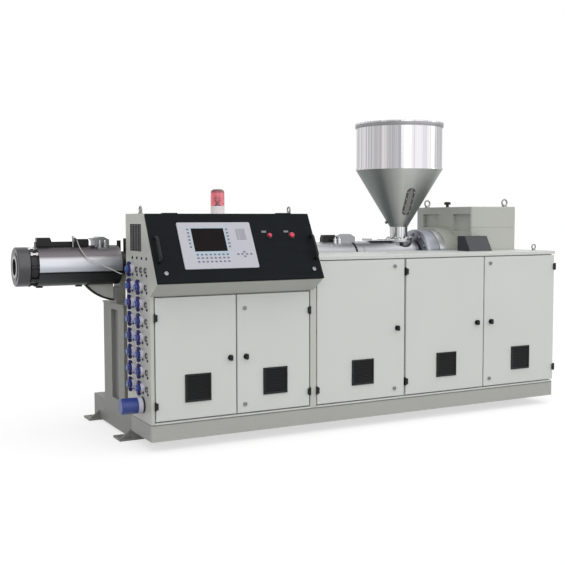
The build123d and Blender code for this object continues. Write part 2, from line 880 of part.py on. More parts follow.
def enclosure_nodes():
    left = cabinet_length
    slot = about(barrel_y, deck_slot_width)
    side_top = enclosure_top - wall
    left_wall = block((left, left + wall), (0, base_width), (base_top, side_top))
    left_wall -= block(longer((left, left + wall)), slot,
                       (barrel_z - cover_radius - deck_end_clearance, enclosure_top))
    save("enclosure_left_wall", left_wall)
    front_y = door_thickness + door_gap
    right_side = (enclosure_right - wall, enclosure_right)
    save("enclosure_right_wall", block(right_side, (front_y, base_width), (base_top, side_top)))
    inside = (left + wall, enclosure_right - wall)
    save("enclosure_back_wall", block(inside, (base_width - wall, base_width), (base_top, side_top)))
    frame = frame_plate(inside, (base_top, side_top), [hinge_seam_x, plain_seam_x])
    save("enclosure_front_frame", frame + sill(inside))
    top = block((left, enclosure_right), (0, base_width), (side_top, enclosure_top))
    front_edge = top.edges().filter_by(Axis.X).group_by(Axis.Z)[-1].sort_by(Axis.Y)[0]
    top = fillet(front_edge, deck_edge_radius)
    top += block((left + wall, enclosure_right), (0, front_y), (enclosure_top - head_height, side_top))
    flange_width = 2 * (distance_radius + deck_end_clearance)
    openings = [((left - overrun, gearbox_left), slot),
                ((rear_flange_x - deck_end_clearance, gearbox_left), about(barrel_y, flange_width)),
                ((gearbox_left - deck_end_clearance, gearbox_left + gearbox_length + deck_end_clearance),
                 (gearbox_front - deck_end_clearance, gearbox_rear + deck_end_clearance))]
    for xs, ys in openings:
        top -= block(xs, ys, longer((side_top, enclosure_top)))
    save("enclosure_top", top)


def around_barrel(radius, count):
    """Places evenly spaced round the barrel's axis, as Y and Z, from its top."""
    turns = [math.radians(360 / count * i) for i in range(count)]
    return [(barrel_y + radius * math.sin(turn), barrel_z + radius * math.cos(turn)) for turn in turns]


def hexagon_x(radius, xs, y, z):
    """A hexagonal bar along X."""
    return extrude(Plane(origin=(xs[0], y, z), z_dir=(1, 0, 0)) * RegularPolygon(radius, 6), xs[1] - xs[0])


def die_end_nodes():
    flange = rod_x(die_flange_radius, (die_face_x, die_back_x))
    flange = chamfer(round_edges(flange), die_flange_chamfer)
    relief = (die_face_x - overrun, die_face_x + die_face_relief)
    flange -= rod_x(die_flange_radius + overrun, relief) - rod_x(die_ring_radius, longer(relief))
    flange -= rod_x(die_bore_radius, longer((die_face_x, die_back_x)))
    save("die_flange", flange)
    tips = []
    tip_x = die_back_x + screw_recess_depth - screw_tip_length / 2
    for side in (-1, 1):
        place = Pos(tip_x, barrel_y + side * screw_radius, barrel_z)
        tips.append(place * Rot(0, -90, 0) * Cone(screw_radius - fit_gap, screw_radius / 4, screw_tip_length))
    save("screw_tips", Part() + tips)
    span = (die_back_x, front_cover_start)
    collar = rod_x(collar_radius, span) - rod_x(barrel_radius, longer(span))
    for y, z in around_barrel(stud_circle_radius, stud_count):
        collar += rod_x(stud_radius, span, y, z)
        collar += hexagon_x(stud_nut_radius, (span[0], span[0] + stud_nut_height), y, z)
        collar += hexagon_x(stud_nut_radius, (span[1] - stud_nut_height, span[1]), y, z)
    save("barrel_collar", collar)


def jacket(span):
    """One stretch of the barrel's cover: an upper shell, a seam and a slightly smaller lower shell."""
    ys = about(barrel_y, 2 * cover_radius + overrun)
    seam_z = barrel_z - cover_seam_drop
    lower_radius = cover_radius - cover_step
    cover = rod_x(cover_radius, span)
    below = block(longer(span), ys, (barrel_z - cover_radius - overrun, seam_z))
    cover -= below - rod_x(lower_radius, longer(longer(span)))
    seam = block(longer(span), ys, (seam_z, seam_z + cover_seam))
    cover -= seam - rod_x(lower_radius - cover_step, longer(longer(span)))
    return cover - rod_x(barrel_radius, longer(span))


def cap_points(start, length, shares):
    """Outline of a vent cap in X and Z, standing on the barrel."""
    cover_top = barrel_z + cover_radius
    points = [(start + length * x_share, cover_top + cap_height * z_share) for x_share, z_share in shares]
    return [(points[0][0], barrel_z), *points, (points[-1][0], barrel_z)]


def clamp(middle_x):
    """Saddle clamp over a cover, with two studs on each side and their nuts."""
    top = barrel_z + cover_radius - clamp_height - clamp_stud_radius
    ys = about(barrel_y, 2 * clamp_reach)
    saddle = block(about(middle_x, clamp_length), ys, (barrel_z, top))
    saddle -= block(longer(about(middle_x, clamp_length)), about(barrel_y, cap_width + 2 * fit_gap),
                    (barrel_z, top + overrun))
    for x in (middle_x - clamp_stud_pitch / 2, middle_x + clamp_stud_pitch / 2):
        for y in (barrel_y - clamp_stud_reach, barrel_y + clamp_stud_reach):
            saddle += rod_z(clamp_stud_radius, (top - clamp_height, top + clamp_stud_height), x, y)
            for i in range(clamp_nuts):
                low = top + i * (clamp_nut_height + lock_chamfer)
                nut = extrude(Pos(x, y, low) * RegularPolygon(clamp_nut_radius, 6), clamp_nut_height)
                saddle += nut
    return saddle


def barrel_nodes():
    bore_end = die_back_x + screw_recess_depth
    barrel = rod_x(barrel_radius, (die_back_x, rear_flange_x))
    barrel -= rod_x(screw_bore_radius, (die_back_x - overrun, bore_end))
    barrel -= rod_z(throat_radius, (barrel_z, barrel_z + barrel_radius + overrun), hopper_x, barrel_y)
    save("barrel", barrel)
    rear_cap_start = hopper_x - rear_cap_offset
    caps = [(front_cap_start, front_cap_length, front_cap_shares),
            (rear_cap_start, rear_cap_length, rear_cap_shares)]
    spans = [(front_cover_start, front_cover_reach),
             (middle_cover_start, cabinet_length - middle_cover_inset),
             (cabinet_length + rear_cover_inset, rear_flange_x - deck_end_clearance)]
    covers = [jacket(span) for span in spans]
    covers[2] -= rod_z(throat_flange_radius, (barrel_z, barrel_z + 2 * cover_radius), hopper_x, barrel_y)
    joint = (hopper_x - jacket_joint_offset, hopper_x - jacket_joint_offset + cover_joint)
    covers[2] -= rod_x(cover_radius + overrun, joint) - rod_x(cover_radius - cover_step, longer(joint))
    pockets = [block((points[0][0], points[-1][0]), about(barrel_y, cap_width), (barrel_z, points[1][1]))
               for points in (cap_points(*cap) for cap in caps)]
    save("barrel_covers", Part() + [cover - pockets for cover in covers])
    ports = [prism_y(cap_points(*cap), about(barrel_y, cap_width)) - rod_x(barrel_radius + fit_gap, (
        front_cover_start, rear_flange_x)) for cap in caps]
    clearance = rod_x(cover_radius + fit_gap, (front_cover_start, rear_flange_x))
    ports += [clamp(x) - clearance for x in (front_clamp_x, rear_cap_start - rear_clamp_lead)]
    probe = rod_z(probe_radius, (barrel_z, barrel_z + probe_height), probe_x, barrel_y - probe_reach)
    first = Vector(*lead_route[1]) - Vector(*lead_route[0])
    head = extrude(Plane(origin=lead_route[0], z_dir=first) * Circle(lead_head_radius), -lead_head_length)
    save("vent_ports", Part() + ports + [probe - clearance + head])
    ring_start = rear_flange_x + rear_flange_length
    flange = rod_x(rear_flange_radius, (rear_flange_x, ring_start))
    flange = fillet(round_edges(flange).sort_by(Axis.X)[0], rear_flange_edge)
    flange += rod_x(ring_radius, (ring_start, ring_start + ring_length))
    for y, z in around_barrel(flange_bolt_circle, flange_bolt_count):
        bolt_start = rear_flange_x - flange_bolt_height
        bolt = rod_x(flange_bolt_radius, (bolt_start, rear_flange_x), y, z)
        hex_span = (bolt_start - overrun, bolt_start + flange_bolt_hex)
        flange += bolt - hexagon_x(flange_bolt_hex, hex_span, y, z)
    save("barrel_flange", flange)
    save("distance_housing", rod_x(distance_radius, (ring_start + ring_length, gearbox_left)))


def terminal_nodes():
    """Black heater terminals on the covers, the cover straps and lugs, and the pipes on the barrel."""
    cover_top = barrel_z + cover_radius
    raceway_top = cover_top + raceway_height
    left = front_cover_start
    tall_left = left + tall_box_start
    tall_right = tall_left + tall_box_length
    low_right = raceway_end - low_box_end_inset
    low_left = low_right - low_box_length
    points = [(left, barrel_z), (left, raceway_top),
              (tall_left, raceway_top), (tall_left, cover_top + tall_box),
              (tall_right, cover_top + tall_box), (tall_right + box_slant, raceway_top),
              (low_left, raceway_top), (low_left, cover_top + low_box), (low_right, cover_top + low_box),
              (raceway_end, raceway_top), (raceway_end, barrel_z)]
    cap_start = hopper_x - rear_cap_offset
    box_start = cap_start - rear_box_length
    rear_points = [(box_start, barrel_z), (box_start, raceway_top),
                   (box_start + box_slant, cover_top + rear_box_height),
                   (cap_start - fit_gap, cover_top + rear_box_height), (cap_start - fit_gap, barrel_z)]
    ys = about(barrel_y, raceway_width)
    boxes = prism_y(points, ys) + prism_y(rear_points, ys)
    strap = (hopper_x - strap_offset, hopper_x - strap_offset + strap_width)
    band = rod_x(cover_radius + fit_gap + strap_thickness, strap)
    boxes += band - block(longer(strap), about(barrel_y, cap_width + 2 * fit_gap), (barrel_z, hopper_rim_top))
    boxes -= rod_x(cover_radius + fit_gap, (front_cover_start - overrun, rear_flange_x))
    lower_radius = cover_radius - cover_step
    lugs = Part()
    for place in lug_places:
        xs = (left + place, left + place + lug_length)
        lugs += block(xs, about(barrel_y, lug_width), (barrel_z - lower_radius - lug_height, barrel_z))
    lugs -= rod_x(lower_radius + fit_gap, (front_cover_start - overrun, rear_flange_x))
    pipes = [rod_z(pipe_radius, (barrel_z, barrel_z + height), x, barrel_y)
             for height, x in zip(pipe_heights, (front_cover_reach + pipe_inset,
                                                 middle_cover_start - pipe_inset))]
    pipes = Part() + pipes - rod_x(barrel_radius + fit_gap, (front_cover_start, rear_flange_x))
    save("heater_terminals", boxes + lugs + pipes)


def lead_node():
    """Thermocouple lead: straight runs joined by arcs as large as the runs allow."""
    points = [Vector(*point) for point in lead_route]
    radii = []
    for before, point, after in zip(points, points[1:], points[2:]):
        turn = math.radians((point - before).get_angle(after - point))
        shorter = min((point - before).length, (after - point).length)
        radii.append(lead_bend_share * shorter / math.tan(turn / 2))
    print("lead radii", [round(radius) for radius in radii])
    path = FilletPolyline(*lead_route, radius=radii)
    section = Plane(origin=lead_route[0], z_dir=points[1] - points[0]) * Circle(lead_radius)
    lead = sweep(section, path=path)
    section_area = math.pi * lead_radius ** 2
    print("lead length", round(path.length), "volume share", lead.volume / (section_area * path.length))
    save("thermocouple_lead", lead)


def support_nodes():
    xs = (0, post_length)
    ys = (cabinet_depth + post_gap, barrel_y + post_rear_reach)
    post = block(xs, ys, (base_top, post_top))
    cap_xs = (-post_cap_lip, post_length + post_cap_lip)
    cap_ys = (ys[0] - post_cap_lip, ys[1] + post_cap_lip)
    post += block(cap_xs, cap_ys, (post_top - post_cap, post_top))
    post -= block((-overrun, post_recess_depth), (barrel_y - post_recess_front, barrel_y + post_recess_rear),
                  (base_top + post_recess_margin, post_top - post_recess_margin))
    pillar_top = post_top + pillar_height
    saddle_ys = about(barrel_y, saddle_width)
    post += block(xs, saddle_ys, (post_top, pillar_top))
    saddle = block((front_cover_reach + fit_gap, post_length), saddle_ys, (pillar_top, barrel_z))
    save("barrel_support", post + saddle - rod_x(barrel_radius, longer(xs)))
    lower_radius = cover_radius - cover_step
    centre_z = barrel_z + gusset_centre_rise
    outer_radius = gusset_radius + edging_thickness
    zs = (centre_z - outer_radius - overrun, barrel_z - lower_radius + edging_thickness)
    reach = block((gusset_centre_x - outer_radius - overrun, 0), about(barrel_y, edging_width), zs)
    plate = rod_y(gusset_radius, about(barrel_y, gusset_thickness), gusset_centre_x, centre_z)
    edging = rod_y(outer_radius, about(barrel_y, edging_width), gusset_centre_x, centre_z)
    edging -= rod_y(gusset_radius, longer(about(barrel_y, edging_width)), gusset_centre_x, centre_z)
    cover = rod_x(lower_radius + fit_gap, (gusset_centre_x - 2 * outer_radius, post_length))
    save("barrel_gusset", (plate & reach) - cover)
    save("gusset_edging", (edging & reach) - cover)


def gearbox_nodes():
    xs = (gearbox_left, gearbox_left + gearbox_length)
    ys = (gearbox_front, gearbox_rear)
    foot_z = barrel_z - gearbox_foot_drop
    inset_xs = (xs[0] + stand_inset, xs[1] - stand_inset)
    inset_ys = (ys[0] + stand_inset, ys[1] - stand_inset)
    lower = block(xs, ys, (foot_z, gearbox_seam_z))
    lower = fillet(lower.edges().filter_by(Axis.Z), gearbox_corner_radius)
    lower = chamfer(lower.faces().sort_by(Axis.Z)[-1].edges(), gearbox_seam_chamfer)
    upper = block(xs, ys, (gearbox_seam_z, gearbox_top))
    upper = fillet(upper.edges().filter_by(Axis.Z), gearbox_corner_radius)
    upper = chamfer(upper.faces().sort_by(Axis.Z)[0].edges(), gearbox_seam_chamfer)
    upper = fillet(upper.faces().sort_by(Axis.Z)[-1].edges(), gearbox_corner_radius / 2)
    depths = (xs[0] - overrun, xs[0] + recess_depth)
    recess_top = gearbox_seam_z + recess_height
    rear_ys = (barrel_y + rear_recess_offset, barrel_y + rear_recess_offset + recess_width)
    front_ys = (ys[0] + front_recess_inset, ys[0] + front_recess_inset + recess_width)
    upper -= block(depths, rear_ys, (gearbox_seam_z + gearbox_seam_chamfer, recess_top))
    front_recess = block(depths, front_ys, (gearbox_seam_z - front_recess_drop, recess_top))
    save("gearbox_lower", lower - front_recess + block(inset_xs, inset_ys, (base_top, foot_z)))
    save("gearbox_upper", upper - front_recess)
    hood_xs = (gearbox_left - hood_overhang, gearbox_left - hood_overhang + hood_length)
    hood_top = enclosure_top + hood_height
    hood = prism_x([(gearbox_front, enclosure_top), (gearbox_front, hood_top),
                    (gearbox_front - hood_top_reach, hood_top),
                    (gearbox_front - hood_foot_reach, enclosure_top)], hood_xs)
    save("drive_hood", fillet(hood.edges().filter_by(Axis.X).group_by(Axis.Y)[1], hood_edge_radius))
    breather_top = gearbox_top + breather_height
    cap = rod_z(breather_radius, (breather_top - breather_cap_height, breather_top),
                gearbox_left + breather_inset, barrel_y)
    stem = rod_z(breather_stem_radius, (gearbox_top, breather_top), gearbox_left + breather_inset, barrel_y)
    save("gearbox_breather", stem + fillet(top_edges(cap), breather_cap_height / 2))


def lifting_eye(x, y, z, turn=0, ring=eye_ring_radius, wire=eye_wire_radius):
    """Eye bolt standing on a flat top, its ring facing the front or turned edge-on to it."""
    collar = rod_z(ring - wire / 2, (z, z + eye_collar_height), x, y)
    collar = chamfer(top_edges(collar), wire / 2)
    centre = Pos(x, y, z + eye_collar_height + ring) * Rot(0, 0, turn) * Rot(90, 0, 0)
    return collar + centre * Torus(ring, wire)


def roof_nodes():
    large = dict(ring=large_eye_ring_radius, wire=large_eye_wire_radius)
    front_eye = (gearbox_left + gearbox_length - gearbox_eye_inset, gearbox_front + gearbox_eye_inset)
    rear_eye = (gearbox_left + gearbox_eye_inset, gearbox_rear - gearbox_eye_inset)
    eyes = [lifting_eye(roof_eye_inset, roof_fitting_y, console_top_z, turn=90),
            lifting_eye(cabinet_length - roof_eye_inset, roof_fitting_y, console_top_z, turn=90),
            lifting_eye(*front_eye, gearbox_top, **large),
            lifting_eye(*rear_eye, gearbox_top, **large),
            lifting_eye(enclosure_right - deck_eye_inset, deck_eye_y, enclosure_top)]
    save("lifting_eyes", Part() + eyes)
    x = cabinet_length / 2
    foot_z = console_top_z + beacon_base_height
    base = rod_z(beacon_radius, (console_top_z, foot_z), x, roof_fitting_y)
    save("beacon_base", fillet(top_edges(base), beacon_base_edge))
    dome = rod_z(beacon_dome_radius, (foot_z, foot_z + beacon_dome_height), x, roof_fitting_y)
    dome = fillet(top_edges(dome), beacon_top_radius)
    rib_radius = beacon_dome_radius + beacon_rib_reach
    for i in range(beacon_ribs):
        low = foot_z + i * beacon_rib_pitch
        dome += rod_z(rib_radius, (low, low + beacon_rib_height), x, roof_fitting_y)
    save("beacon_dome", dome)


def throat_nodes():
    slot = (throat_flange_top, gate_slot_top)
    throat = block(about(hopper_x, throat_block_width), about(barrel_y, throat_block_depth),
                   (barrel_z, throat_flange_z))
    flange = rod_z(throat_flange_radius, (throat_flange_z, throat_flange_top), hopper_x, barrel_y)
    throat += chamfer(round_edges(flange).sort_by(Axis.Z)[0], throat_flange_edge)
    throat -= rod_x(barrel_radius, about(hopper_x, 2 * throat_block_width))
    throat -= rod_z(throat_radius, (barrel_z, throat_flange_top + overrun), hopper_x, barrel_y)
    rails = tube_z(throat_flange_radius, throat_radius, slot, hopper_x, barrel_y)
    rails -= block(about(hopper_x, 4 * throat_flange_radius), about(barrel_y, gate_width + 2 * fit_gap),
                   longer(slot))
    save("feed_throat", throat + rails)
    lift = (gate_slot - gate_thickness) / 2
    gate_left = hopper_x - gate_reach
    gate_zs = (slot[0] + lift, slot[0] + lift + gate_thickness)
    gate = block((gate_left, hopper_x - throat_radius - gate_thickness), about(barrel_y, gate_width), gate_zs)
    gate += block((gate_left, gate_left + gate_lip_thickness), about(barrel_y, gate_width),
                  (gate_zs[0], gate_zs[0] + gate_lip_height))
    save("slide_gate", gate)
    inner = hopper_neck_radius - hopper_sheet
    collar = rod_z(throat_flange_radius, (gate_slot_top, neck_collar_top), hopper_x, barrel_y)
    collar = chamfer(top_edges(collar), throat_flange_edge)
    guide = block((hopper_x - gate_guide_reach, hopper_x), about(barrel_y, gate_width),
                  (gate_slot_top, gate_slot_top + gate_guide_thickness))
    neck = collar + guide - rod_z(inner, longer((gate_slot_top, neck_collar_top)), hopper_x, barrel_y)
    neck += tube_z(hopper_neck_radius, inner, (neck_collar_top, hopper_neck_top), hopper_x, barrel_y)
    save("hopper_neck", neck)


# The cone's slope, and the plane of its sight window
cone_run = hopper_radius - hopper_neck_radius
cone_slant = math.hypot(cone_run, hopper_cone_height)
cone_out = (hopper_cone_height / cone_slant, -cone_run / cone_slant)


def cone_shell(inner, outer):
    """Shell between two distances out from the cone's outer face."""
    ends = ((hopper_neck_radius, hopper_neck_top), (hopper_radius, hopper_cone_top))
    lines = [[(r + cone_out[0] * out, z + cone_out[1] * out) for r, z in ends] for out in (inner, outer)]
    outline = make_face(Polyline(*lines[0], *reversed(lines[1]), close=True))
    return Pos(hopper_x, barrel_y, 0) * revolve(Plane.XZ * outline, Axis.Z)


def cone_plane(turn, z):
    """Plane on the cone's face at a turn about its axis, with Y up the slope and Z out of it."""
    radius = hopper_neck_radius + cone_run * (z - hopper_neck_top) / hopper_cone_height
    side = (math.cos(math.radians(turn)), math.sin(math.radians(turn)))
    return Plane(origin=(hopper_x + radius * side[0], barrel_y + radius * side[1], z),
                 x_dir=(-side[1], side[0], 0),
                 z_dir=(side[0] * cone_out[0], side[1] * cone_out[0], cone_out[1]))


def window_slot(border):
    """Slot through the cone's face, smaller than the window by a border all round."""
    outline = SlotOverall(window_length - 2 * border, window_width - 2 * border, rotation=90)
    plane = cone_plane(window_turn, hopper_neck_top + hopper_cone_height * window_height_share)
    return extrude(plane * outline, window_width, both=True)


def hopper_nodes():
    cone = Pos(hopper_x, barrel_y, 0) * revolve(Plane.XZ * make_face(Polyline(
        (hopper_neck_radius, hopper_neck_top), (hopper_radius, hopper_cone_top),
        (hopper_radius - hopper_sheet, hopper_cone_top), (hopper_neck_radius - hopper_sheet, hopper_neck_top),
        close=True)), Axis.Z)
    cone -= window_slot(window_border)
    plug_plane = cone_plane(cone_plug_turn, hopper_neck_top + cone_plug_rise)
    sunk = plug_plane * Pos(0, 0, -hopper_sheet / 2)
    level_plug = extrude(sunk * RegularPolygon(cone_plug_radius, 6), cone_plug_reach)
    save("hopper_cone", cone + level_plug)
    frame = cone_shell(fit_gap, window_proud) & (window_slot(0) - window_slot(window_border + window_lip))
    pane = cone_shell(-hopper_sheet / 2, fit_gap + window_lip / 2) & window_slot(window_border + fit_gap)
    save("sight_window", frame + pane)
    inner = hopper_radius - hopper_sheet
    cylinder = tube_z(hopper_radius, inner, (hopper_cone_top, hopper_rim_top), hopper_x, barrel_y)
    band = (hopper_cone_top, hopper_cone_top + hopper_band_height)
    cylinder += tube_z(hopper_radius + hopper_band_width, inner, band, hopper_x, barrel_y)
    rim = rod_z(hopper_radius + hopper_rim_width, (hopper_rim_top - hopper_rim_height, hopper_rim_top),
                hopper_x, barrel_y)
    rim = fillet(round_edges(rim), hopper_rim_edge)
    rim -= rod_z(inner, longer((hopper_rim_top - hopper_rim_height, hopper_rim_top)), hopper_x, barrel_y)
    save("hopper_cylinder", cylinder + rim)


os.makedirs("parts", exist_ok=True)
base_nodes()
foot_nodes()
cabinet_nodes()
grille_node()
socket_nodes()
save("cabinet_hinges", Part() + door_nodes() + console_nodes())
enclosure_nodes()
die_end_nodes()
barrel_nodes()
terminal_nodes()
lead_node()
support_nodes()
gearbox_nodes()
roof_nodes()
throat_nodes()
hopper_nodes()
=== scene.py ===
"""Looks of a plastic extruder: finishes, small fittings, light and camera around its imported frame."""

import math

import bmesh
import bpy
from bpy.props import FloatProperty, FloatVectorProperty, IntProperty, PointerProperty
from mathutils import Euler, Matrix, Vector


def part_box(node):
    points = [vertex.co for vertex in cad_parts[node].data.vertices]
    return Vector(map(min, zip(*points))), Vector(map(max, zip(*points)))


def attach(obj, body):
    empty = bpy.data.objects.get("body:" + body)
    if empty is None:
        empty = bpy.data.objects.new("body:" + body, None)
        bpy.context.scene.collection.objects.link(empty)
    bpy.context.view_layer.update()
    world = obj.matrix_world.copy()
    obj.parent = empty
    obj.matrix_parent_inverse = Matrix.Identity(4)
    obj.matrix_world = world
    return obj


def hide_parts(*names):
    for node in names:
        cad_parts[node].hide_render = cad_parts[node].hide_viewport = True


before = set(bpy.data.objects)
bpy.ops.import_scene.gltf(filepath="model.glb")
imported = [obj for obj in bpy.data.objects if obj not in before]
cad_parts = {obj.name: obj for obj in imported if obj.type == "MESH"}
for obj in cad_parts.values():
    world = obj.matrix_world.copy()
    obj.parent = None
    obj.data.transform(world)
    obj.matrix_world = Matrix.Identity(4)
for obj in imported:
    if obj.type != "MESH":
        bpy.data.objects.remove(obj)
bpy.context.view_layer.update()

bl_info = {
    "name": "Plastic extruder looks",
    "version": (1, 0, 0),
    "blender": (4, 5, 0),
    "location": "View3D > Sidebar > Extruder",
    "description": "Finishes, fittings, light and camera for a twin-screw plastic extruder",
    "category": "Object",
}

MM = 0.001
MACHINE = "machine"

# The corner that the part is measured from: left end, face of the doors, floor
CORNER = Vector((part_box("cabinet_end_wall")[0].x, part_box("door_1")[0].y, 0))

# Places that several pieces and finishes share, in millimetres from that corner
BARREL_Y = 660
BARREL_Z = 1007
HOPPER_X = 2087
LID_TOP = (68, 1311)
LID_OUT = (-0.8797, 0.4755)
LID_DOWN = (-0.4755, -0.8797)
CONE_FOOT = (62, 1222)
CONE_TOP = (300, 1617)
WINDOW_TURN = -101
WINDOW_SHARE = 0.44
FOOT_BOLT_CIRCLE = 78
FOOT_BOLT_TURN = 8
FOOT_BOLT_Z = 1145
LOCK_HEIGHTS = (220, 773, 985)
LOCK_REACH = 13

# Screws and heater plugs of the end wall, by their places along Y and up Z
SCREW_Y = [51 + 77.5 * i for i in range(4)]
SCREW_Z = [1064 - 93.6 * i for i in range(9)]
PLUG_Y = (290, 142)
PLUG_Z = [999 - 93.857 * i for i in range(8)]

# Direction across the hopper, as shares of +X and -Y, in which its bright sheet is painted dull as painted
# shade, and along which the cone's painted reflection tones run
PAINTED_SHADE_SIDE = (0.885, 0.466)

# Where the two soft lamps stand, in metres, and how wide they look
KEY_PLACE = (3.5, -8.0, 6.5)
KEY_SPREAD = math.radians(112)
FILL_PLACE = (-8.0, -3.0, 5.0)
FILL_SPREAD = math.radians(90)

# Route of the thermocouple lead in metres, from the probe's head to its gland in the end wall
LEAD_ROUTE = [(-1.4460, 0.1365, 1.1718), (-1.4295, 0.1310, 1.1580), (-1.4265, 0.1210, 1.1320),
              (-1.4205, 0.0950, 1.1070), (-1.4095, 0.0700, 1.0800), (-1.3915, 0.0560, 1.0540),
              (-1.3585, 0.0300, 1.0340), (-1.3255, -0.0060, 1.0150), (-1.2955, -0.0440, 0.9990),
              (-1.2675, -0.0760, 0.9820), (-1.2395, -0.0990, 0.9650), (-1.2155, -0.0990, 0.9650)]


def srgb(red, green, blue):
    """A display colour of 0 to 255 as the linear colour that shaders use."""
    shares = [level / 255 for level in (red, green, blue)]
    return tuple(s / 12.92 if s <= 0.04045 else ((s + 0.055) / 1.055) ** 2.4 for s in shares)


def at(x, y, z):
    """A place in the frame, from millimetres off the part's corner."""
    return CORNER + Vector((x, y, z)) * MM


def cone_slope():
    """How far the hopper's cone runs out and rises, and the length of its slant, in millimetres."""
    run, rise = CONE_TOP[0] - CONE_FOOT[0], CONE_TOP[1] - CONE_FOOT[1]
    return run, rise, math.hypot(run, rise)


def colour_property(name, description, default):
    return FloatVectorProperty(name=name, description=description, subtype="COLOR", size=3, min=0, max=1,
                               default=default)


def length_property(name, description, millimetres):
    return FloatProperty(name=name, description=description, default=millimetres * MM, min=0, unit="LENGTH")


class FinishSettings(bpy.types.PropertyGroup):
    door_paint: colour_property("Door paint", "Warm light grey powder coat of the doors",
                                srgb(210, 212, 208))
    frame_paint: colour_property("Frame paint", "Grey-beige coat of the cabinet, plinth and base",
                                 srgb(172, 173, 167))
    gearbox_paint: colour_property("Gearbox paint", "Grey-green coat of the gearbox castings",
                                   srgb(181, 183, 176))
    hood_paint: colour_property("Hood paint", "Blue-grey coat of the drive hood", srgb(37, 39, 45))
    console_black: colour_property("Console black", "Satin black of the console lid", srgb(30, 33, 35))
    terminal_film: colour_property("Terminal film", "Pale film of the operator terminal",
                                   srgb(190, 190, 198))
    key_grey: colour_property("Key grey", "Grey of the terminal's keys", srgb(112, 120, 134))
    fitting_black: colour_property("Fitting black", "Black of the vents, knobs and handles",
                                   srgb(22, 23, 25))
    plug_blue: colour_property("Plug blue", "Blue of the heater plugs", srgb(40, 40, 104))
    supply_blue: colour_property("Supply plug blue", "Blue of the large supply plug", srgb(38, 58, 132))
    signal_red: colour_property("Signal red", "Red of the push buttons", srgb(206, 40, 74))
    beacon_red: colour_property("Beacon red", "Red of the beacon's clear dome", srgb(252, 166, 178))


class FittingSettings(bpy.types.PropertyGroup):
    screw_radius: length_property("Screw radius", "Radius of the screws in the end wall", 8.5)
    bolt_radius: length_property("Bolt radius", "Radius of the hexagon bolts round the hopper's foot", 8.5)
    bolt_count: IntProperty(name="Bolts", description="Bolts round the hopper's foot", default=12, min=3)
    lead_radius: length_property("Lead radius", "Radius of the thermocouple lead", 2.5)
    rim_height: length_property("Rim height", "Height of the rolled edge under the hopper's rim", 22)
    dome_wall: length_property("Dome wall", "Thickness of the beacon's clear dome", 2.5)


class StageSettings(bpy.types.PropertyGroup):
    key_strength: FloatProperty(name="Key light", description="Strength of the lamp at the front right",
                                default=1.75, min=0)
    fill_strength: FloatProperty(name="Fill light", description="Strength of the lamp at the left",
                                 default=0.45, min=0)
    room_strength: FloatProperty(name="Room light", description="Strength of the light from all round",
                                 default=0.56, min=0)
    camera_place: FloatVectorProperty(name="Camera", description="Where the camera stands",
                                      subtype="TRANSLATION", unit="LENGTH", size=3,
                                      default=(-2.8805, -5.202, 1.278))
    camera_yaw: FloatProperty(name="Camera yaw", description="Turn from straight at the doors",
                              subtype="ANGLE", default=math.radians(27.784))
    camera_pitch: FloatProperty(name="Camera pitch", description="Tilt below the horizon",
                                subtype="ANGLE", default=math.radians(3.9375))
    camera_roll: FloatProperty(name="Camera roll", description="Turn about the line of sight",
                               subtype="ANGLE", default=math.radians(-0.1413))
    camera_lens: FloatProperty(name="Lens", description="Focal length in millimetres on a 36 mm sensor",
                               default=58.6, min=1)


class Value:
    """A number that varies over a surface. An expression on values adds its Math nodes."""

    def __init__(self, coat, socket):
        self.coat = coat
        self.socket = socket

    def maths(self, operation, *terms):
        made = self.coat.node("ShaderNodeMath", {"operation": operation}, dict(enumerate(terms)))
        return Value(self.coat, made.outputs[0])

    def __add__(self, other):
        return self.maths("ADD", self, other)

    __radd__ = __add__

    def __sub__(self, other):
        return self.maths("SUBTRACT", self, other)

    def __rsub__(self, other):
        return self.maths("SUBTRACT", other, self)

    def __mul__(self, other):
        return self.maths("MULTIPLY", self, other)

    __rmul__ = __mul__

    def __truediv__(self, other):
        return self.maths("DIVIDE", self, other)

    def __gt__(self, other):
        return self.maths("GREATER_THAN", self, other)

    def __lt__(self, other):
        return self.maths("LESS_THAN", self, other)

    def __abs__(self):
        return self.maths("ABSOLUTE", self)

    def root(self):
        return self.maths("SQRT", self)

    def most(self, other):
        return self.maths("MAXIMUM", self, other)

    def within(self, low, high):
        """One between two limits and nothing outside them."""
        return (self > low) * (self < high)


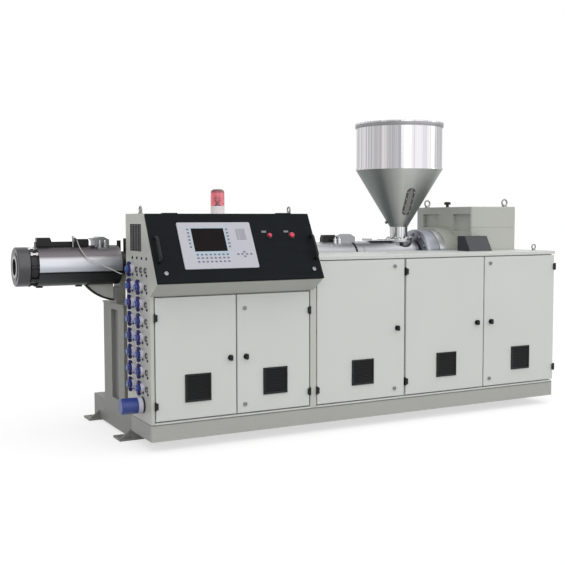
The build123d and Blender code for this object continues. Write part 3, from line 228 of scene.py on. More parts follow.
class Coat:
    """A material being made: a principled shader and the nodes that feed it."""

    def __init__(self, name, roughness=0.5, metallic=0.0, coat_weight=0.0, gloss=0.5):
        self.material = bpy.data.materials.new(name)
        self.material.use_nodes = True
        self.tree = self.material.node_tree
        self.shader = self.tree.nodes["Principled BSDF"]
        self.feed("Roughness", roughness)
        self.feed("Metallic", metallic)
        self.feed("Coat Weight", coat_weight)
        self.feed("Specular IOR Level", gloss)

    def node(self, kind, settings=None, inputs=None):
        """Adds a node: its settings first, then the values or links of its sockets."""
        made = self.tree.nodes.new(kind)
        for key, value in (settings or {}).items():
            if key == "stops":
                self.set_stops(made.color_ramp, value)
            else:
                setattr(made, key, value)
        for key, value in (inputs or {}).items():
            self.join(made.inputs[key], value)
        return made

    def join(self, socket, value):
        if isinstance(value, Value):
            self.tree.links.new(value.socket, socket)
        elif isinstance(value, tuple) and len(value) == 3 and socket.type == "RGBA":
            socket.default_value = (*value, 1)
        else:
            socket.default_value = value

    @staticmethod
    def set_stops(ramp, stops):
        while len(ramp.elements) < len(stops):
            ramp.elements.new(1)
        for element, (place, colour) in zip(ramp.elements, stops):
            element.position = place
            element.color = (*colour, 1)

    def feed(self, name, value):
        self.join(self.shader.inputs[name], value)

    def place(self):
        """Where a surface point is, in the frame the part is built in."""
        made = self.node("ShaderNodeTexCoord")
        return Value(self, made.outputs["Object"])

    def axes(self, vector=None):
        made = self.node("ShaderNodeSeparateXYZ", inputs={0: vector or self.place()})
        return [Value(self, output) for output in made.outputs]

    def measured(self):
        """Millimetres from the part's corner along each axis."""
        x, y, z = self.axes()
        return (x - CORNER.x) / MM, (y - CORNER.y) / MM, z / MM

    def on_lid(self):
        """Millimetres across the console lid, down its slope and out of it."""
        x, y, z = self.measured()
        back, high = y - LID_TOP[0], z - LID_TOP[1]
        return x, back * LID_DOWN[0] + high * LID_DOWN[1], back * LID_OUT[0] + high * LID_OUT[1]

    def noise(self, scale, detail=3.0, roughness=0.5, vector=None, stretch=(1, 1, 1)):
        """Soft random values from 0 to 1, drawn out along an axis by a small stretch."""
        source = vector or self.place()
        mapped = self.node("ShaderNodeMapping", inputs={"Vector": source, "Scale": stretch})
        made = self.node("ShaderNodeTexNoise",
                         inputs={"Vector": Value(self, mapped.outputs[0]), "Scale": scale, "Detail": detail,
                                 "Roughness": roughness})
        return Value(self, made.outputs[0])

    def ramp(self, factor, stops):
        """A colour that follows a value through the given stops."""
        made = self.node("ShaderNodeValToRGB", {"stops": stops}, {0: factor})
        return Value(self, made.outputs[0])

    def fade(self, value, low, high, start=0.0, end=1.0):
        """Goes from start to end while the value goes from low to high."""
        made = self.node("ShaderNodeMapRange", {"interpolation_type": "SMOOTHSTEP"},
                         {"Value": value, "From Min": low, "From Max": high, "To Min": start, "To Max": end})
        return Value(self, made.outputs[0])

    def mix(self, factor, first, second):
        """A colour between two colours."""
        made = self.node("ShaderNodeMix", {"data_type": "RGBA"}, {0: factor, 6: first, 7: second})
        return Value(self, made.outputs[2])

    def bump(self, height, distance, strength=1.0, edge_radius=0.0):
        """Fine relief, over edges that look rounded by edge_radius."""
        inputs = {"Height": height, "Distance": distance, "Strength": strength}
        if edge_radius:
            rounded = self.node("ShaderNodeBevel", {"samples": 4}, {"Radius": edge_radius})
            inputs["Normal"] = Value(self, rounded.outputs[0])
        made = self.node("ShaderNodeBump", inputs=inputs)
        self.feed("Normal", Value(self, made.outputs[0]))


def shade(colour, share):
    """A colour made darker or lighter by a share."""
    return tuple(min(1.0, level * share) for level in colour)


def powder_coat(name, colour, roughness=0.42, edge_radius=1.2 * MM, peel=520):
    """Baked powder paint: faint cloudiness, orange peel, and a soft line of dust near the floor."""
    coat = Coat(name)
    cloud = coat.noise(scale=2.5, detail=4)
    base = coat.mix(cloud, shade(colour, 0.955), shade(colour, 1.03))
    x, y, z = coat.axes()
    dust = coat.fade(z, 0.32, 0.0) * coat.noise(scale=9, detail=5)
    coat.feed("Base Color", coat.mix(dust * 0.35, base, shade(colour, 0.72)))
    coat.feed("Roughness", coat.noise(scale=14, detail=4) * 0.12 + (roughness - 0.06))
    coat.bump(coat.noise(scale=peel, detail=2), distance=0.25 * MM, strength=0.18, edge_radius=edge_radius)
    return coat.material


def plain_plastic(name, colour, roughness=0.4, grain=900, edge_radius=0.8 * MM, coat_weight=0.0, gloss=0.5):
    """Moulded plastic with a fine spark-eroded grain."""
    coat = Coat(name, coat_weight=coat_weight, gloss=gloss)
    coat.feed("Base Color", coat.mix(coat.noise(scale=30), shade(colour, 0.9), shade(colour, 1.08)))
    coat.feed("Roughness", coat.noise(scale=60) * 0.1 + (roughness - 0.05))
    coat.bump(coat.noise(scale=grain, detail=2), distance=0.15 * MM, strength=0.3, edge_radius=edge_radius)
    return coat.material


def console_coat(name, colour):
    """Satin black sheet with a trace of wiped-on streaks."""
    coat = Coat(name, gloss=0.02)
    streaks = coat.noise(scale=7, detail=5, stretch=(1, 4, 4))
    coat.feed("Base Color", coat.mix(streaks, shade(colour, 0.75), shade(colour, 1.25)))
    coat.feed("Roughness", streaks * 0.16 + 0.34)
    coat.bump(coat.noise(scale=700, detail=2), distance=0.2 * MM, strength=0.15, edge_radius=1.5 * MM)
    return coat.material


def terminal_coat(name, film, key_grey):
    """Film of the operator terminal, with its dark screen, grey keys and the pale blue field round them."""
    coat = Coat(name, gloss=0.04)
    across, down, out = coat.on_lid()
    grain = coat.noise(scale=40, detail=3)
    base = coat.mix(grain, shade(film, 0.96), shade(film, 1.03))
    field = across.within(236, 450) * down.within(89, 270)
    base = coat.mix(field, base, srgb(178, 193, 203))
    keys = out > 6.35
    base = coat.mix(keys, base, key_grey)
    pads = keys * across.within(513, 573) * down.within(95, 180)
    base = coat.mix(pads, base, srgb(164, 162, 171))
    sunk = out < 5.2
    screen = sunk * across.within(244, 442) * down.within(96, 241)
    glow = coat.noise(scale=9, detail=2)
    base = coat.mix(screen, base, coat.mix(glow, srgb(16, 18, 20), srgb(34, 26, 28)))
    coat.feed("Base Color", base)
    coat.feed("Roughness", 0.34 - screen * 0.2 + grain * 0.06)
    coat.bump(coat.noise(scale=800, detail=2), distance=0.1 * MM, strength=0.12, edge_radius=0.8 * MM)
    return coat.material


def two_tone(name, mask_of, inside, outside, roughness=(0.35, 0.35), metallic=(0.0, 0.0), gloss=0.35,
             edge_radius=0.8 * MM):
    """A node of two finishes: inside a mask given by a function of the coat, and outside it."""
    coat = Coat(name, gloss=gloss)
    mask = mask_of(coat)
    grain = coat.noise(scale=35, detail=3)
    first = coat.mix(grain, shade(outside, 0.9), shade(outside, 1.1))
    second = coat.mix(grain, shade(inside, 0.9), shade(inside, 1.1))
    coat.feed("Base Color", coat.mix(mask, first, second))
    coat.feed("Roughness", mask * (roughness[0] - roughness[1]) + (grain * 0.1 + (roughness[1] - 0.05)))
    coat.feed("Metallic", metallic[0])
    if metallic[0] != metallic[1]:
        coat.feed("Metallic", mask * (metallic[0] - metallic[1]) + metallic[1])
    coat.bump(coat.noise(scale=900, detail=2), distance=0.12 * MM, strength=0.25, edge_radius=edge_radius)
    return coat.material


def door_lock_mask(coat):
    """The quarter-turn locks among a door's fittings."""
    x, y, z = coat.measured()
    lowest, *others = LOCK_HEIGHTS
    rows = z.within(lowest - LOCK_REACH, lowest + LOCK_REACH)
    for height in others:
        rows = rows.most(z.within(height - LOCK_REACH, height + LOCK_REACH))
    return rows * (y > -8)


def lid_lock_mask(coat):
    across, down, out = coat.on_lid()
    return down > 345


def from_barrel_axis(coat):
    """How far a point is from the barrel's axis, and how high it is, in millimetres."""
    x, y, z = coat.measured()
    across, high = y - BARREL_Y, z - BARREL_Z
    return (across * across + high * high).root(), high


def top_stud_mask(coat):
    """The bright studs and nuts on top of the barrel's collar."""
    radius, high = from_barrel_axis(coat)
    return (radius > 98.6) * (high > 60)


def bore_ring_mask(coat):
    """The polished seat round the bore of the die flange."""
    radius, high = from_barrel_axis(coat)
    return radius < 64


def flange_ring_mask(coat):
    x, y, z = coat.measured()
    return x > 2312.5


def slat_highlight_mask(coat):
    """The outer edges of the grille's slats, between its upright dividers, painted grey as a painted
    highlight.
    """
    low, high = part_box("end_wall_grille")
    pitch = (high.y - low.y) / MM / 4
    x, y, z = coat.measured()
    turns = (y - (low.y - CORNER.y) / MM) / pitch + 0.5
    beside = abs(turns.maths("FRACT", turns) - 0.5) * pitch > 2.4
    return beside * (x < 3.2)


def clamp_mask(coat):
    """Studs and nuts of the saddle clamps, beside the vent caps."""
    x, y, z = coat.measured()
    return (abs(y - BARREL_Y) > 47) * (z > 1114)


def window_frame_mask(coat):
    """The raised frame of the sight window, by its distance out from the cone."""
    x, y, z = coat.measured()
    across, back = x - HOPPER_X, y - BARREL_Y
    run, rise, slant = cone_slope()
    out = (across * across + back * back).root() * (rise / slant) - z * (run / slant)
    foot = CONE_FOOT[0] * rise / slant - CONE_FOOT[1] * run / slant
    return out > foot + 2.3


def plug_coat(name, plug_blue, supply_blue):
    """Heater plugs with pale collars and a painted highlight on their noses, empty sockets, the large supply
    plug and the lead's gland.
    """
    coat = Coat(name)
    x, y, z = coat.measured()
    grain = coat.noise(scale=40, detail=3)
    base = coat.mix(grain, shade(plug_blue, 0.75), shade(plug_blue, 1.25))
    collar = x > -17.5
    base = coat.mix(collar, base, srgb(206, 204, 222))
    # Painted highlight: the plugs' noses are painted a lighter blue.
    base = coat.mix(x < -33.5, base, srgb(62, 84, 158))
    supply = z < 299
    wide = coat.mix(grain, shade(supply_blue, 0.8), shade(supply_blue, 1.2))
    wide = coat.mix(x > -36.5, wide, srgb(196, 196, 212))
    wide = coat.mix(x > -11.5, wide, srgb(30, 31, 34))
    base = coat.mix(supply, base, wide)
    sockets = (y < 105).most((y < 253) * (z > 975))
    base = coat.mix(sockets * (1 - supply), base, srgb(92, 90, 97))
    gland = y > 350
    base = coat.mix(gland, base, srgb(186, 182, 170))
    coat.feed("Base Color", base)
    coat.feed("Metallic", gland * 0.9)
    coat.feed("Roughness", grain * 0.1 + 0.26)
    coat.bump(coat.noise(scale=900, detail=2), distance=0.12 * MM, strength=0.25, edge_radius=1.5 * MM)
    return coat.material


def button_coat(name, red, black):
    """Red heads, black bezels and bright plates of the push buttons."""
    coat = Coat(name)
    across, down, out = coat.on_lid()
    grain = coat.noise(scale=50)
    base = coat.mix(grain, shade(red, 0.85), shade(red, 1.1))
    base = coat.mix(out < 5.05, base, black)
    plate = down < 126
    base = coat.mix(plate, base, srgb(112, 114, 116))
    coat.feed("Base Color", base)
    coat.feed("Roughness", grain * 0.1 + 0.24)
    coat.bump(grain, distance=0.05 * MM, strength=0.2, edge_radius=1 * MM)
    return coat.material


def machined_metal(name, colour, roughness=0.3, along="X", streak=0.35, edge_radius=0.8 * MM):
    """Turned or ground steel: fine marks that run round one axis, and cloudy handling marks."""
    coat = Coat(name, metallic=1.0)
    stretch = {"X": (160, 6, 6), "Y": (6, 160, 6), "Z": (6, 6, 160)}[along]
    marks = coat.noise(scale=3, detail=3, stretch=stretch)
    cloud = coat.noise(scale=11, detail=5)
    tone = coat.mix(cloud, shade(colour, 0.82), shade(colour, 1.12))
    coat.feed("Base Color", coat.mix(marks * streak, tone, shade(colour, 0.55)))
    coat.feed("Roughness", cloud * 0.16 + marks * 0.08 + (roughness - 0.1))
    coat.bump(marks, distance=0.12 * MM, strength=0.35, edge_radius=edge_radius)
    return coat.material


def round_axis(coat, node, along):
    """The direction of a surface point from the axis of a round node, as a unit vector."""
    low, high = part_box(node)
    centre = (low + high) / 2
    flat = {"X": (0, 1, 1), "Z": (1, 1, 0)}[along]
    moved = coat.node("ShaderNodeVectorMath", {"operation": "SUBTRACT"}, {0: coat.place(), 1: tuple(centre)})
    held = coat.node("ShaderNodeVectorMath", {"operation": "MULTIPLY"},
                     {0: Value(coat, moved.outputs[0]), 1: flat})
    unit = coat.node("ShaderNodeVectorMath", {"operation": "NORMALIZE"}, {0: Value(coat, held.outputs[0])})
    return Value(coat, unit.outputs[0])


def mirror_sheet(name, node, broad_scale, fine_scale, stops):
    """Mirror-polished rolled sheet: tall bands of tone round it as painted reflections, and painted shade
    towards one side.
    """
    coat = Coat(name, metallic=1.0)
    around = round_axis(coat, node, "Z")
    broad = coat.noise(scale=broad_scale, detail=2.0, vector=around)
    fine = coat.noise(scale=fine_scale, detail=3.0, roughness=0.6, vector=around)
    east, north, up = coat.axes(around)
    # Painted shade: the sheet is painted darker towards one side.
    painted_shade_edge = coat.fade(east * PAINTED_SHADE_SIDE[0] - north * PAINTED_SHADE_SIDE[1], 0.7, 0.95) * 0.5
    # Painted reflection: tall bands of tone round the axis stand in for the sheet's reflections.
    painted_reflection_bands = coat.ramp(broad * 0.6 + fine * 0.4, stops)
    coat.feed("Base Color", coat.mix(painted_shade_edge, painted_reflection_bands, srgb(120, 118, 120)))
    coat.feed("Roughness", fine * 0.12 + 0.06)
    ripple = coat.noise(scale=26, detail=2, vector=around)
    coat.bump(ripple, distance=0.6 * MM, strength=0.25)
    return coat.material


def satin_cone(name, node):
    """Brushed stainless cone, marked down its slope, with painted reflection and shade across it."""
    coat = Coat(name, metallic=1.0)
    around = round_axis(coat, node, "Z")
    brushed = coat.noise(scale=60, detail=4, roughness=0.7, vector=around)
    cloud = coat.noise(scale=3, detail=3, vector=around)
    east, north, up = coat.axes(around)
    # Painted reflection and shade: the tone runs across the cone along one direction, darkest at one side
    # and brightest in the middle.
    turn = east * (PAINTED_SHADE_SIDE[0] / 2) - north * (PAINTED_SHADE_SIDE[1] / 2) + cloud * 0.16 + 0.42
    stops = [(0.0, srgb(112, 118, 117)), (0.22, srgb(138, 143, 142)), (0.36, srgb(186, 189, 187)),
             (0.5, srgb(212, 213, 209)), (0.62, srgb(196, 198, 194)), (0.8, srgb(168, 172, 170)),
             (1.0, srgb(160, 164, 162))]
    coat.feed("Base Color", coat.mix(brushed * 0.2, coat.ramp(turn, stops), srgb(112, 114, 113)))
    coat.feed("Roughness", brushed * 0.12 + 0.36)
    coat.bump(brushed, distance=0.08 * MM, strength=0.25, edge_radius=1 * MM)
    return coat.material


def barrel_jacket(name, node):
    """Stainless jacket of the barrel: darker and brownish along the top, a bright band on its side as a
    painted reflection, and painted shade below its seam.
    """
    coat = Coat(name, metallic=1.0)
    low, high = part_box(node)
    x, y, z = coat.axes()
    height = (z - low.z) / (high.z - low.z)
    wander = coat.noise(scale=18, detail=4, stretch=(0.25, 1, 1)) * 0.03
    # Tones up the front: dark below as painted shade, a dark line at the seam, a bright band as a painted
    # reflection, darker and brownish on top.
    stops = [(0.0, srgb(40, 42, 42)), (0.18, srgb(66, 70, 70)), (0.325, srgb(58, 61, 61)),
             (0.34, srgb(30, 32, 33)), (0.365, srgb(34, 36, 37)), (0.385, srgb(182, 187, 194)),
             (0.55, srgb(192, 195, 202)), (0.69, srgb(190, 189, 194)), (0.76, srgb(106, 101, 104)),
             (1.0, srgb(82, 77, 79))]
    front_painted_reflection = coat.ramp(height + wander, stops)
    # Tones up the rear part: lighter towards the top, a painted reflection.
    rear_reflection_stops = [(0.0, srgb(62, 64, 66)), (0.45, srgb(110, 112, 116)), (0.70, srgb(136, 137, 142)),
                  (0.86, srgb(190, 191, 195)), (1.0, srgb(218, 218, 222))]
    rear_painted_reflection = coat.ramp(height + wander, rear_reflection_stops)
    behind = coat.fade(x, low.x + 0.45, low.x + 0.6)
    tone = coat.mix(behind, front_painted_reflection, rear_painted_reflection)
    grain = coat.noise(scale=4, detail=4, stretch=(2, 90, 90))
    coat.feed("Base Color", coat.mix(grain * 0.22, tone, srgb(80, 80, 82)))
    coat.feed("Roughness", grain * 0.12 + 0.3)
    coat.bump(grain, distance=0.1 * MM, strength=0.25, edge_radius=1.5 * MM)
    return coat.material


def braided_sheath(name):
    """Glass-fibre braid: fine threads from one noise, drawn out along Z."""
    coat = Coat(name, roughness=0.55)
    threads = coat.noise(scale=900, detail=1, stretch=(1, 1, 0.35))
    coat.feed("Base Color", coat.mix(threads, srgb(150, 150, 148), srgb(212, 212, 208)))
    coat.bump(threads, distance=0.3 * MM, strength=0.6)
    return coat.material


def clear_dome(name, colour):
    """Clear red moulding of the beacon's dome."""
    coat = Coat(name, roughness=0.06, coat_weight=0.4)
    low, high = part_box("beacon_dome")
    x, y, z = coat.axes()
    crown = coat.fade(z, high.z - 30 * MM, high.z - 8 * MM) * 0.85
    coat.feed("Base Color", coat.mix(crown, coat.mix(coat.noise(scale=20), colour, shade(colour, 0.9)),
                                     shade(colour, 0.28)))
    coat.feed("Transmission Weight", 0.92)
    coat.feed("IOR", 1.46)
    return coat.material


def dress(material, *nodes):
    """Gives CAD nodes a finish."""
    for name in nodes:
        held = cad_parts[name]
        if not held.material_slots:
            held.data.materials.append(material)
        for slot in held.material_slots:
            slot.material = material


def link(piece):
    bpy.context.scene.collection.objects.link(piece)
    return piece


def make_piece(name, shape, material, body):
    """Turns mesh code into a piece that rides on a body."""
    bmesh.ops.recalc_face_normals(shape, faces=shape.faces)
    mesh = bpy.data.meshes.new(name)
    shape.to_mesh(mesh)
    shape.free()
    mesh.materials.append(material)
    mesh.shade_smooth()
    mesh.set_sharp_from_angle(angle=math.radians(32))
    piece = link(bpy.data.objects.new(name, mesh))
    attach(piece, body)
    return piece


def ring_of(shape, place, radius, height, steps, turn=0.0):
    """One ring of corners about a place's Z axis, or a single corner on it."""
    if radius == 0:
        return [shape.verts.new(place @ Vector((0, 0, height)))]
    angles = [turn + math.tau * i / steps for i in range(steps)]
    corners = [Vector((radius * math.cos(a), radius * math.sin(a), height)) for a in angles]
    return [shape.verts.new(place @ corner) for corner in corners]


def join_rings(shape, rings):
    """Skins neighbouring rings with faces."""
    for low, high in zip(rings, rings[1:]):
        count = max(len(low), len(high))
        for i in range(count):
            j = (i + 1) % count
            corners = [low[i % len(low)], low[j % len(low)], high[j % len(high)], high[i % len(high)]]
            shape.faces.new(list(dict.fromkeys(corners)))


def lathe(shape, profile, place=Matrix(), steps=32, closed=False):
    """Turns a profile of radii and heights about a place's Z axis."""
    rings = [ring_of(shape, place, radius, height, steps) for radius, height in profile]
    join_rings(shape, rings + rings[:1] if closed else rings)


def facing(place, direction):
    """A matrix at a place whose Z axis points along a direction."""
    return Matrix.Translation(place) @ Vector(direction).to_track_quat("Z", "Y").to_matrix().to_4x4()


def hexagon_bolt(shape, place, radius, height):
    """Hexagon head with a chamfered top, on a round washer."""
    washer = 0.18 * height
    lathe(shape, [(0, 0), (1.25 * radius, 0), (1.25 * radius, washer), (0, washer)], place, steps=20)
    head = [(0, washer), (radius, washer), (radius, 0.86 * height), (0.84 * radius, height), (0, height)]
    lathe(shape, head, place, steps=6)


def socket_screw(shape, place, radius, height):
    """Low round screw head with a sunk socket."""
    profile = [(0, 0), (radius, 0), (radius, 0.4 * height), (0.82 * radius, 0.85 * height),
               (0.5 * radius, height), (0.42 * radius, height), (0.42 * radius, 0.4 * height),
               (0, 0.4 * height)]
    lathe(shape, profile, place, steps=14)


def tube_along(shape, line, radii, steps=14):
    """A round tube along a line, with a radius at each of its points."""
    rings = []
    for i, (point, radius) in enumerate(zip(line, radii)):
        before, after = line[max(i - 1, 0)], line[min(i + 1, len(line) - 1)]
        rings.append(ring_of(shape, facing(point, after - before), radius, 0, steps))
    ends = [[shape.verts.new(line[0])], [shape.verts.new(line[-1])]]
    join_rings(shape, [ends[0], *rings, ends[1]])


class EXTRUDER_OT_lead(bpy.types.Operator):
    """Runs the thermocouple lead from the probe on the barrel to its gland in the end wall"""

    bl_idname = "extruder.lead"
    bl_label = "Thermocouple lead"

    def execute(self, context):
        radius = context.scene.extruder_fittings.lead_radius
        curve = bpy.data.curves.new("lead", "CURVE")
        curve.dimensions = "3D"
        spline = curve.splines.new("NURBS")
        spline.points.add(len(LEAD_ROUTE) - 1)
        for point, place in zip(spline.points, LEAD_ROUTE):
            point.co = (*place, 1)
        spline.order_u = 3
        spline.use_endpoint_u = True
        spline.resolution_u = 12
        lead = link(bpy.data.objects.new("lead", curve))
        context.view_layer.update()
        bare = bpy.data.meshes.new_from_object(lead)
        line = [corner.co.copy() for corner in bare.vertices]
        bpy.data.meshes.remove(bare)
        curve.bevel_depth = radius
        curve.bevel_resolution = 3
        curve.use_fill_caps = True
        curve.materials.append(braided_sheath("lead_braid"))
        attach(lead, MACHINE)
        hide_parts("thermocouple_lead")
        sleeve = plain_plastic("sleeve_rubber", srgb(40, 40, 42), roughness=0.5, gloss=0.3)
        for name, run in (("lead_sleeve_probe", line), ("lead_sleeve_wall", line[::-1])):
            make_piece(name, self.sleeve(run, radius), sleeve, MACHINE)
        return {"FINISHED"}

    @staticmethod
    def sleeve(run, radius, reach=22 * MM):
        """Tapered, ribbed strain relief over the first stretch of the lead."""
        gone = 0.0
        line, radii = [run[0]], [2.0 * radius]
        for before, after in zip(run, run[1:]):
            gone += (after - before).length
            if gone > reach:
                break
            rib = 0.14 * radius * (len(line) % 2)
            line.append(after)
            radii.append(radius * (2.0 - 0.85 * gone / reach) + rib)
        shape = bmesh.new()
        tube_along(shape, line, radii)
        return shape


class EXTRUDER_OT_painted_sheet(bpy.types.Operator):
    """Paints the base, cabinet, enclosure, doors, gearbox and hood"""

    bl_idname = "extruder.painted_sheet"
    bl_label = "Painted sheet and castings"

    def execute(self, context):
        finish = context.scene.extruder_finish
        dress(powder_coat("frame_paint_coat", tuple(finish.frame_paint)), "plinth_front",
              "enclosure_back_wall")
        # The plinth's ends get the frame paint darkened as painted shade.
        dress(powder_coat("plinth_end_painted_shade_coat", shade(tuple(finish.frame_paint), 0.78)), "plinth_ends")
        # The cabinet's walls, back, roof and fascia, the enclosure's left wall and the gusset get the frame
        # paint lightened as painted light.
        dress(powder_coat("cabinet_painted_light_coat", shade(tuple(finish.frame_paint), 1.28)), "cabinet_end_wall",
              "cabinet_side_wall", "cabinet_back", "cabinet_roof", "cabinet_fascia", "enclosure_left_wall",
              "barrel_gusset")
        # The base, its feet and the barrel support get the frame paint darkened as painted shade.
        base_shaded_coat = powder_coat("base_painted_shade_coat", shade(tuple(finish.frame_paint), 0.52), roughness=0.46)
        dress(base_shaded_coat, "base_rails", "base_cross_beams", "base_deck", "foot_plates", "barrel_support")
        door_coat = powder_coat("door_paint_coat", tuple(finish.door_paint))
        dress(door_coat, "cabinet_front_frame", "enclosure_front_frame", "enclosure_top",
              "enclosure_right_wall", *[f"door_{i}" for i in range(1, 6)])
        dress(powder_coat("gearbox_paint_coat", tuple(finish.gearbox_paint), roughness=0.5, peel=260),
              "gearbox_lower", "gearbox_upper")
        dress(powder_coat("housing_paint_coat", shade(tuple(finish.gearbox_paint), 0.92), roughness=0.5,
                          peel=260), "distance_housing")
        dress(powder_coat("hood_paint_coat", tuple(finish.hood_paint), roughness=0.38), "drive_hood")
        return {"FINISHED"}


class EXTRUDER_OT_metalwork(bpy.types.Operator):
    """Finishes the barrel line, the hopper and the lifting eyes"""

    bl_idname = "extruder.metalwork"
    bl_label = "Barrel, hopper and bright metal"

    def execute(self, context):
        black = tuple(context.scene.extruder_finish.fitting_black)
        dress(two_tone("die_steel", bore_ring_mask, srgb(142, 143, 146), srgb(80, 80, 82),
                       roughness=(0.25, 0.33), metallic=(1, 1)), "die_flange")
        dress(two_tone("collar_steel", top_stud_mask, srgb(200, 200, 201), srgb(58, 58, 60),
                       roughness=(0.3, 0.5), metallic=(1, 1)), "barrel_collar")
        dress(machined_metal("barrel_steel", srgb(60, 60, 62), roughness=0.45), "barrel")
        dress(two_tone("flange_steel", flange_ring_mask, srgb(222, 223, 226), srgb(150, 153, 161),
                       roughness=(0.3, 0.4), metallic=(1, 1)), "barrel_flange")
        dress(machined_metal("screw_steel", srgb(140, 140, 142), roughness=0.25), "screw_tips")
        dress(barrel_jacket("jacket_steel", "barrel_covers"), "barrel_covers")
        dress(two_tone("port_steel", clamp_mask, srgb(214, 215, 216), srgb(140, 141, 144),
                       roughness=(0.25, 0.38), metallic=(1, 1)), "vent_ports")
        dress(machined_metal("throat_steel", srgb(188, 190, 196), roughness=0.34, along="Z"), "feed_throat",
              "slide_gate")
        # Tones of the neck's painted reflection bands
        neck_reflection_stops = [(0.34, srgb(104, 104, 106)), (0.42, srgb(190, 190, 190)), (0.47, srgb(112, 112, 114)),
                      (0.53, srgb(238, 238, 238)), (0.58, srgb(128, 128, 130)), (0.66, srgb(224, 224, 224))]
        dress(mirror_sheet("neck_mirror_steel", "hopper_neck", 7.0, 22.0, neck_reflection_stops), "hopper_neck")
        # Tones of the cylinder's painted reflection bands
        sheet_reflection_stops = [(0.30, srgb(148, 146, 149)), (0.41, srgb(196, 194, 197)), (0.47, srgb(170, 169, 173)),
                       (0.54, srgb(224, 222, 223)), (0.60, srgb(178, 177, 180)), (0.70, srgb(206, 204, 206))]
        dress(mirror_sheet("mirror_steel", "hopper_cylinder", 2.6, 13.0, sheet_reflection_stops), "hopper_cylinder")
        dress(satin_cone("cone_steel", "hopper_cone"), "hopper_cone")
        dress(two_tone("sight_glass_coat", window_frame_mask, srgb(78, 77, 75), srgb(136, 135, 131),
                       roughness=(0.6, 0.12), gloss=0.4), "sight_window")
        dress(machined_metal("zinc_steel", srgb(160, 160, 158), roughness=0.4), "lifting_eyes")
        terminals = plain_plastic("terminal_black", black, roughness=0.4, gloss=0.25)
        dress(terminals, "heater_terminals", "gusset_edging")
        return {"FINISHED"}


class EXTRUDER_OT_console(bpy.types.Operator):
    """Finishes the console lid, the operator terminal, its buttons and handles"""

    bl_idname = "extruder.console"
    bl_label = "Console"

    def execute(self, context):
        finish = context.scene.extruder_finish
        black = tuple(finish.fitting_black)
        silver = srgb(150, 152, 156)
        dress(console_coat("console_black_coat", tuple(finish.console_black)), "console_lid")
        dress(terminal_coat("terminal_film_coat", tuple(finish.terminal_film), tuple(finish.key_grey)),
              "operator_terminal")
        dress(button_coat("button_red_plastic", tuple(finish.signal_red), black), "console_buttons")
        dress(two_tone("handle_black", lid_lock_mask, silver, black, roughness=(0.25, 0.4),
                       metallic=(1, 0), gloss=0.25), "console_handles_and_locks")
        dress(two_tone("door_fitting_black", door_lock_mask, srgb(140, 141, 142), black,
                       roughness=(0.3, 0.42), metallic=(1, 0), gloss=0.25),
              *[f"door_{i}_fittings" for i in range(1, 6)])
        dress(plain_plastic("black_plastic", black, roughness=0.42, gloss=0.25), "gearbox_breather",
              "cabinet_hinges")
        # The black grille has a painted highlight in grey on its slats' outer edges.
        dress(two_tone("grille_grey", slat_highlight_mask, srgb(60, 61, 63), black), "end_wall_grille")
        return {"FINISHED"}


class EXTRUDER_OT_plugs(bpy.types.Operator):
    """Finishes the heater plugs and sets the screws round them in the end wall"""

    bl_idname = "extruder.plugs"
    bl_label = "Plugs and end wall screws"

    def execute(self, context):
        finish = context.scene.extruder_finish
        dress(plug_coat("plug_plastic", tuple(finish.plug_blue), tuple(finish.supply_blue)), "cable_plugs")
        radius = context.scene.extruder_fittings.screw_radius
        shape = bmesh.new()
        for z in SCREW_Z:
            for y in SCREW_Y:
                socket_screw(shape, facing(at(0, y, z), (-1, 0, 0)), radius, 0.55 * radius)
        levers = bmesh.new()
        for row, z in enumerate(PLUG_Z):
            for y in PLUG_Y:
                if row or y == PLUG_Y[0]:
                    for way in (-1, 1):
                        self.lever(levers, y, z, way)
        make_piece("plug_levers", levers,
                   plain_plastic("lever_blue", shade(tuple(finish.plug_blue), 0.8), roughness=0.25), MACHINE)
        make_piece("end_wall_screws", shape,
                   plain_plastic("screw_black", srgb(24, 24, 28), roughness=0.45, gloss=0.3), MACHINE)
        return {"FINISHED"}

    @staticmethod
    def lever(shape, y, z, way, half_width=8.5):
        """Locking lever that hooks from a plug's body over the rim of its socket."""
        outline = [(-9, 26), (-13, 40), (-22, 44), (-31, 40), (-35, 24), (-33, 17), (-27, 22), (-18, 25)]
        sides = []
        for side in (-half_width, half_width):
            taper = [0.72 if rise > 36 else 1.0 for reach, rise in outline]
            sides.append([shape.verts.new(at(reach, y + side * share, z + way * rise))
                          for (reach, rise), share in zip(outline, taper)])
        join_rings(shape, sides)
        for ring in sides:
            shape.faces.new(ring)


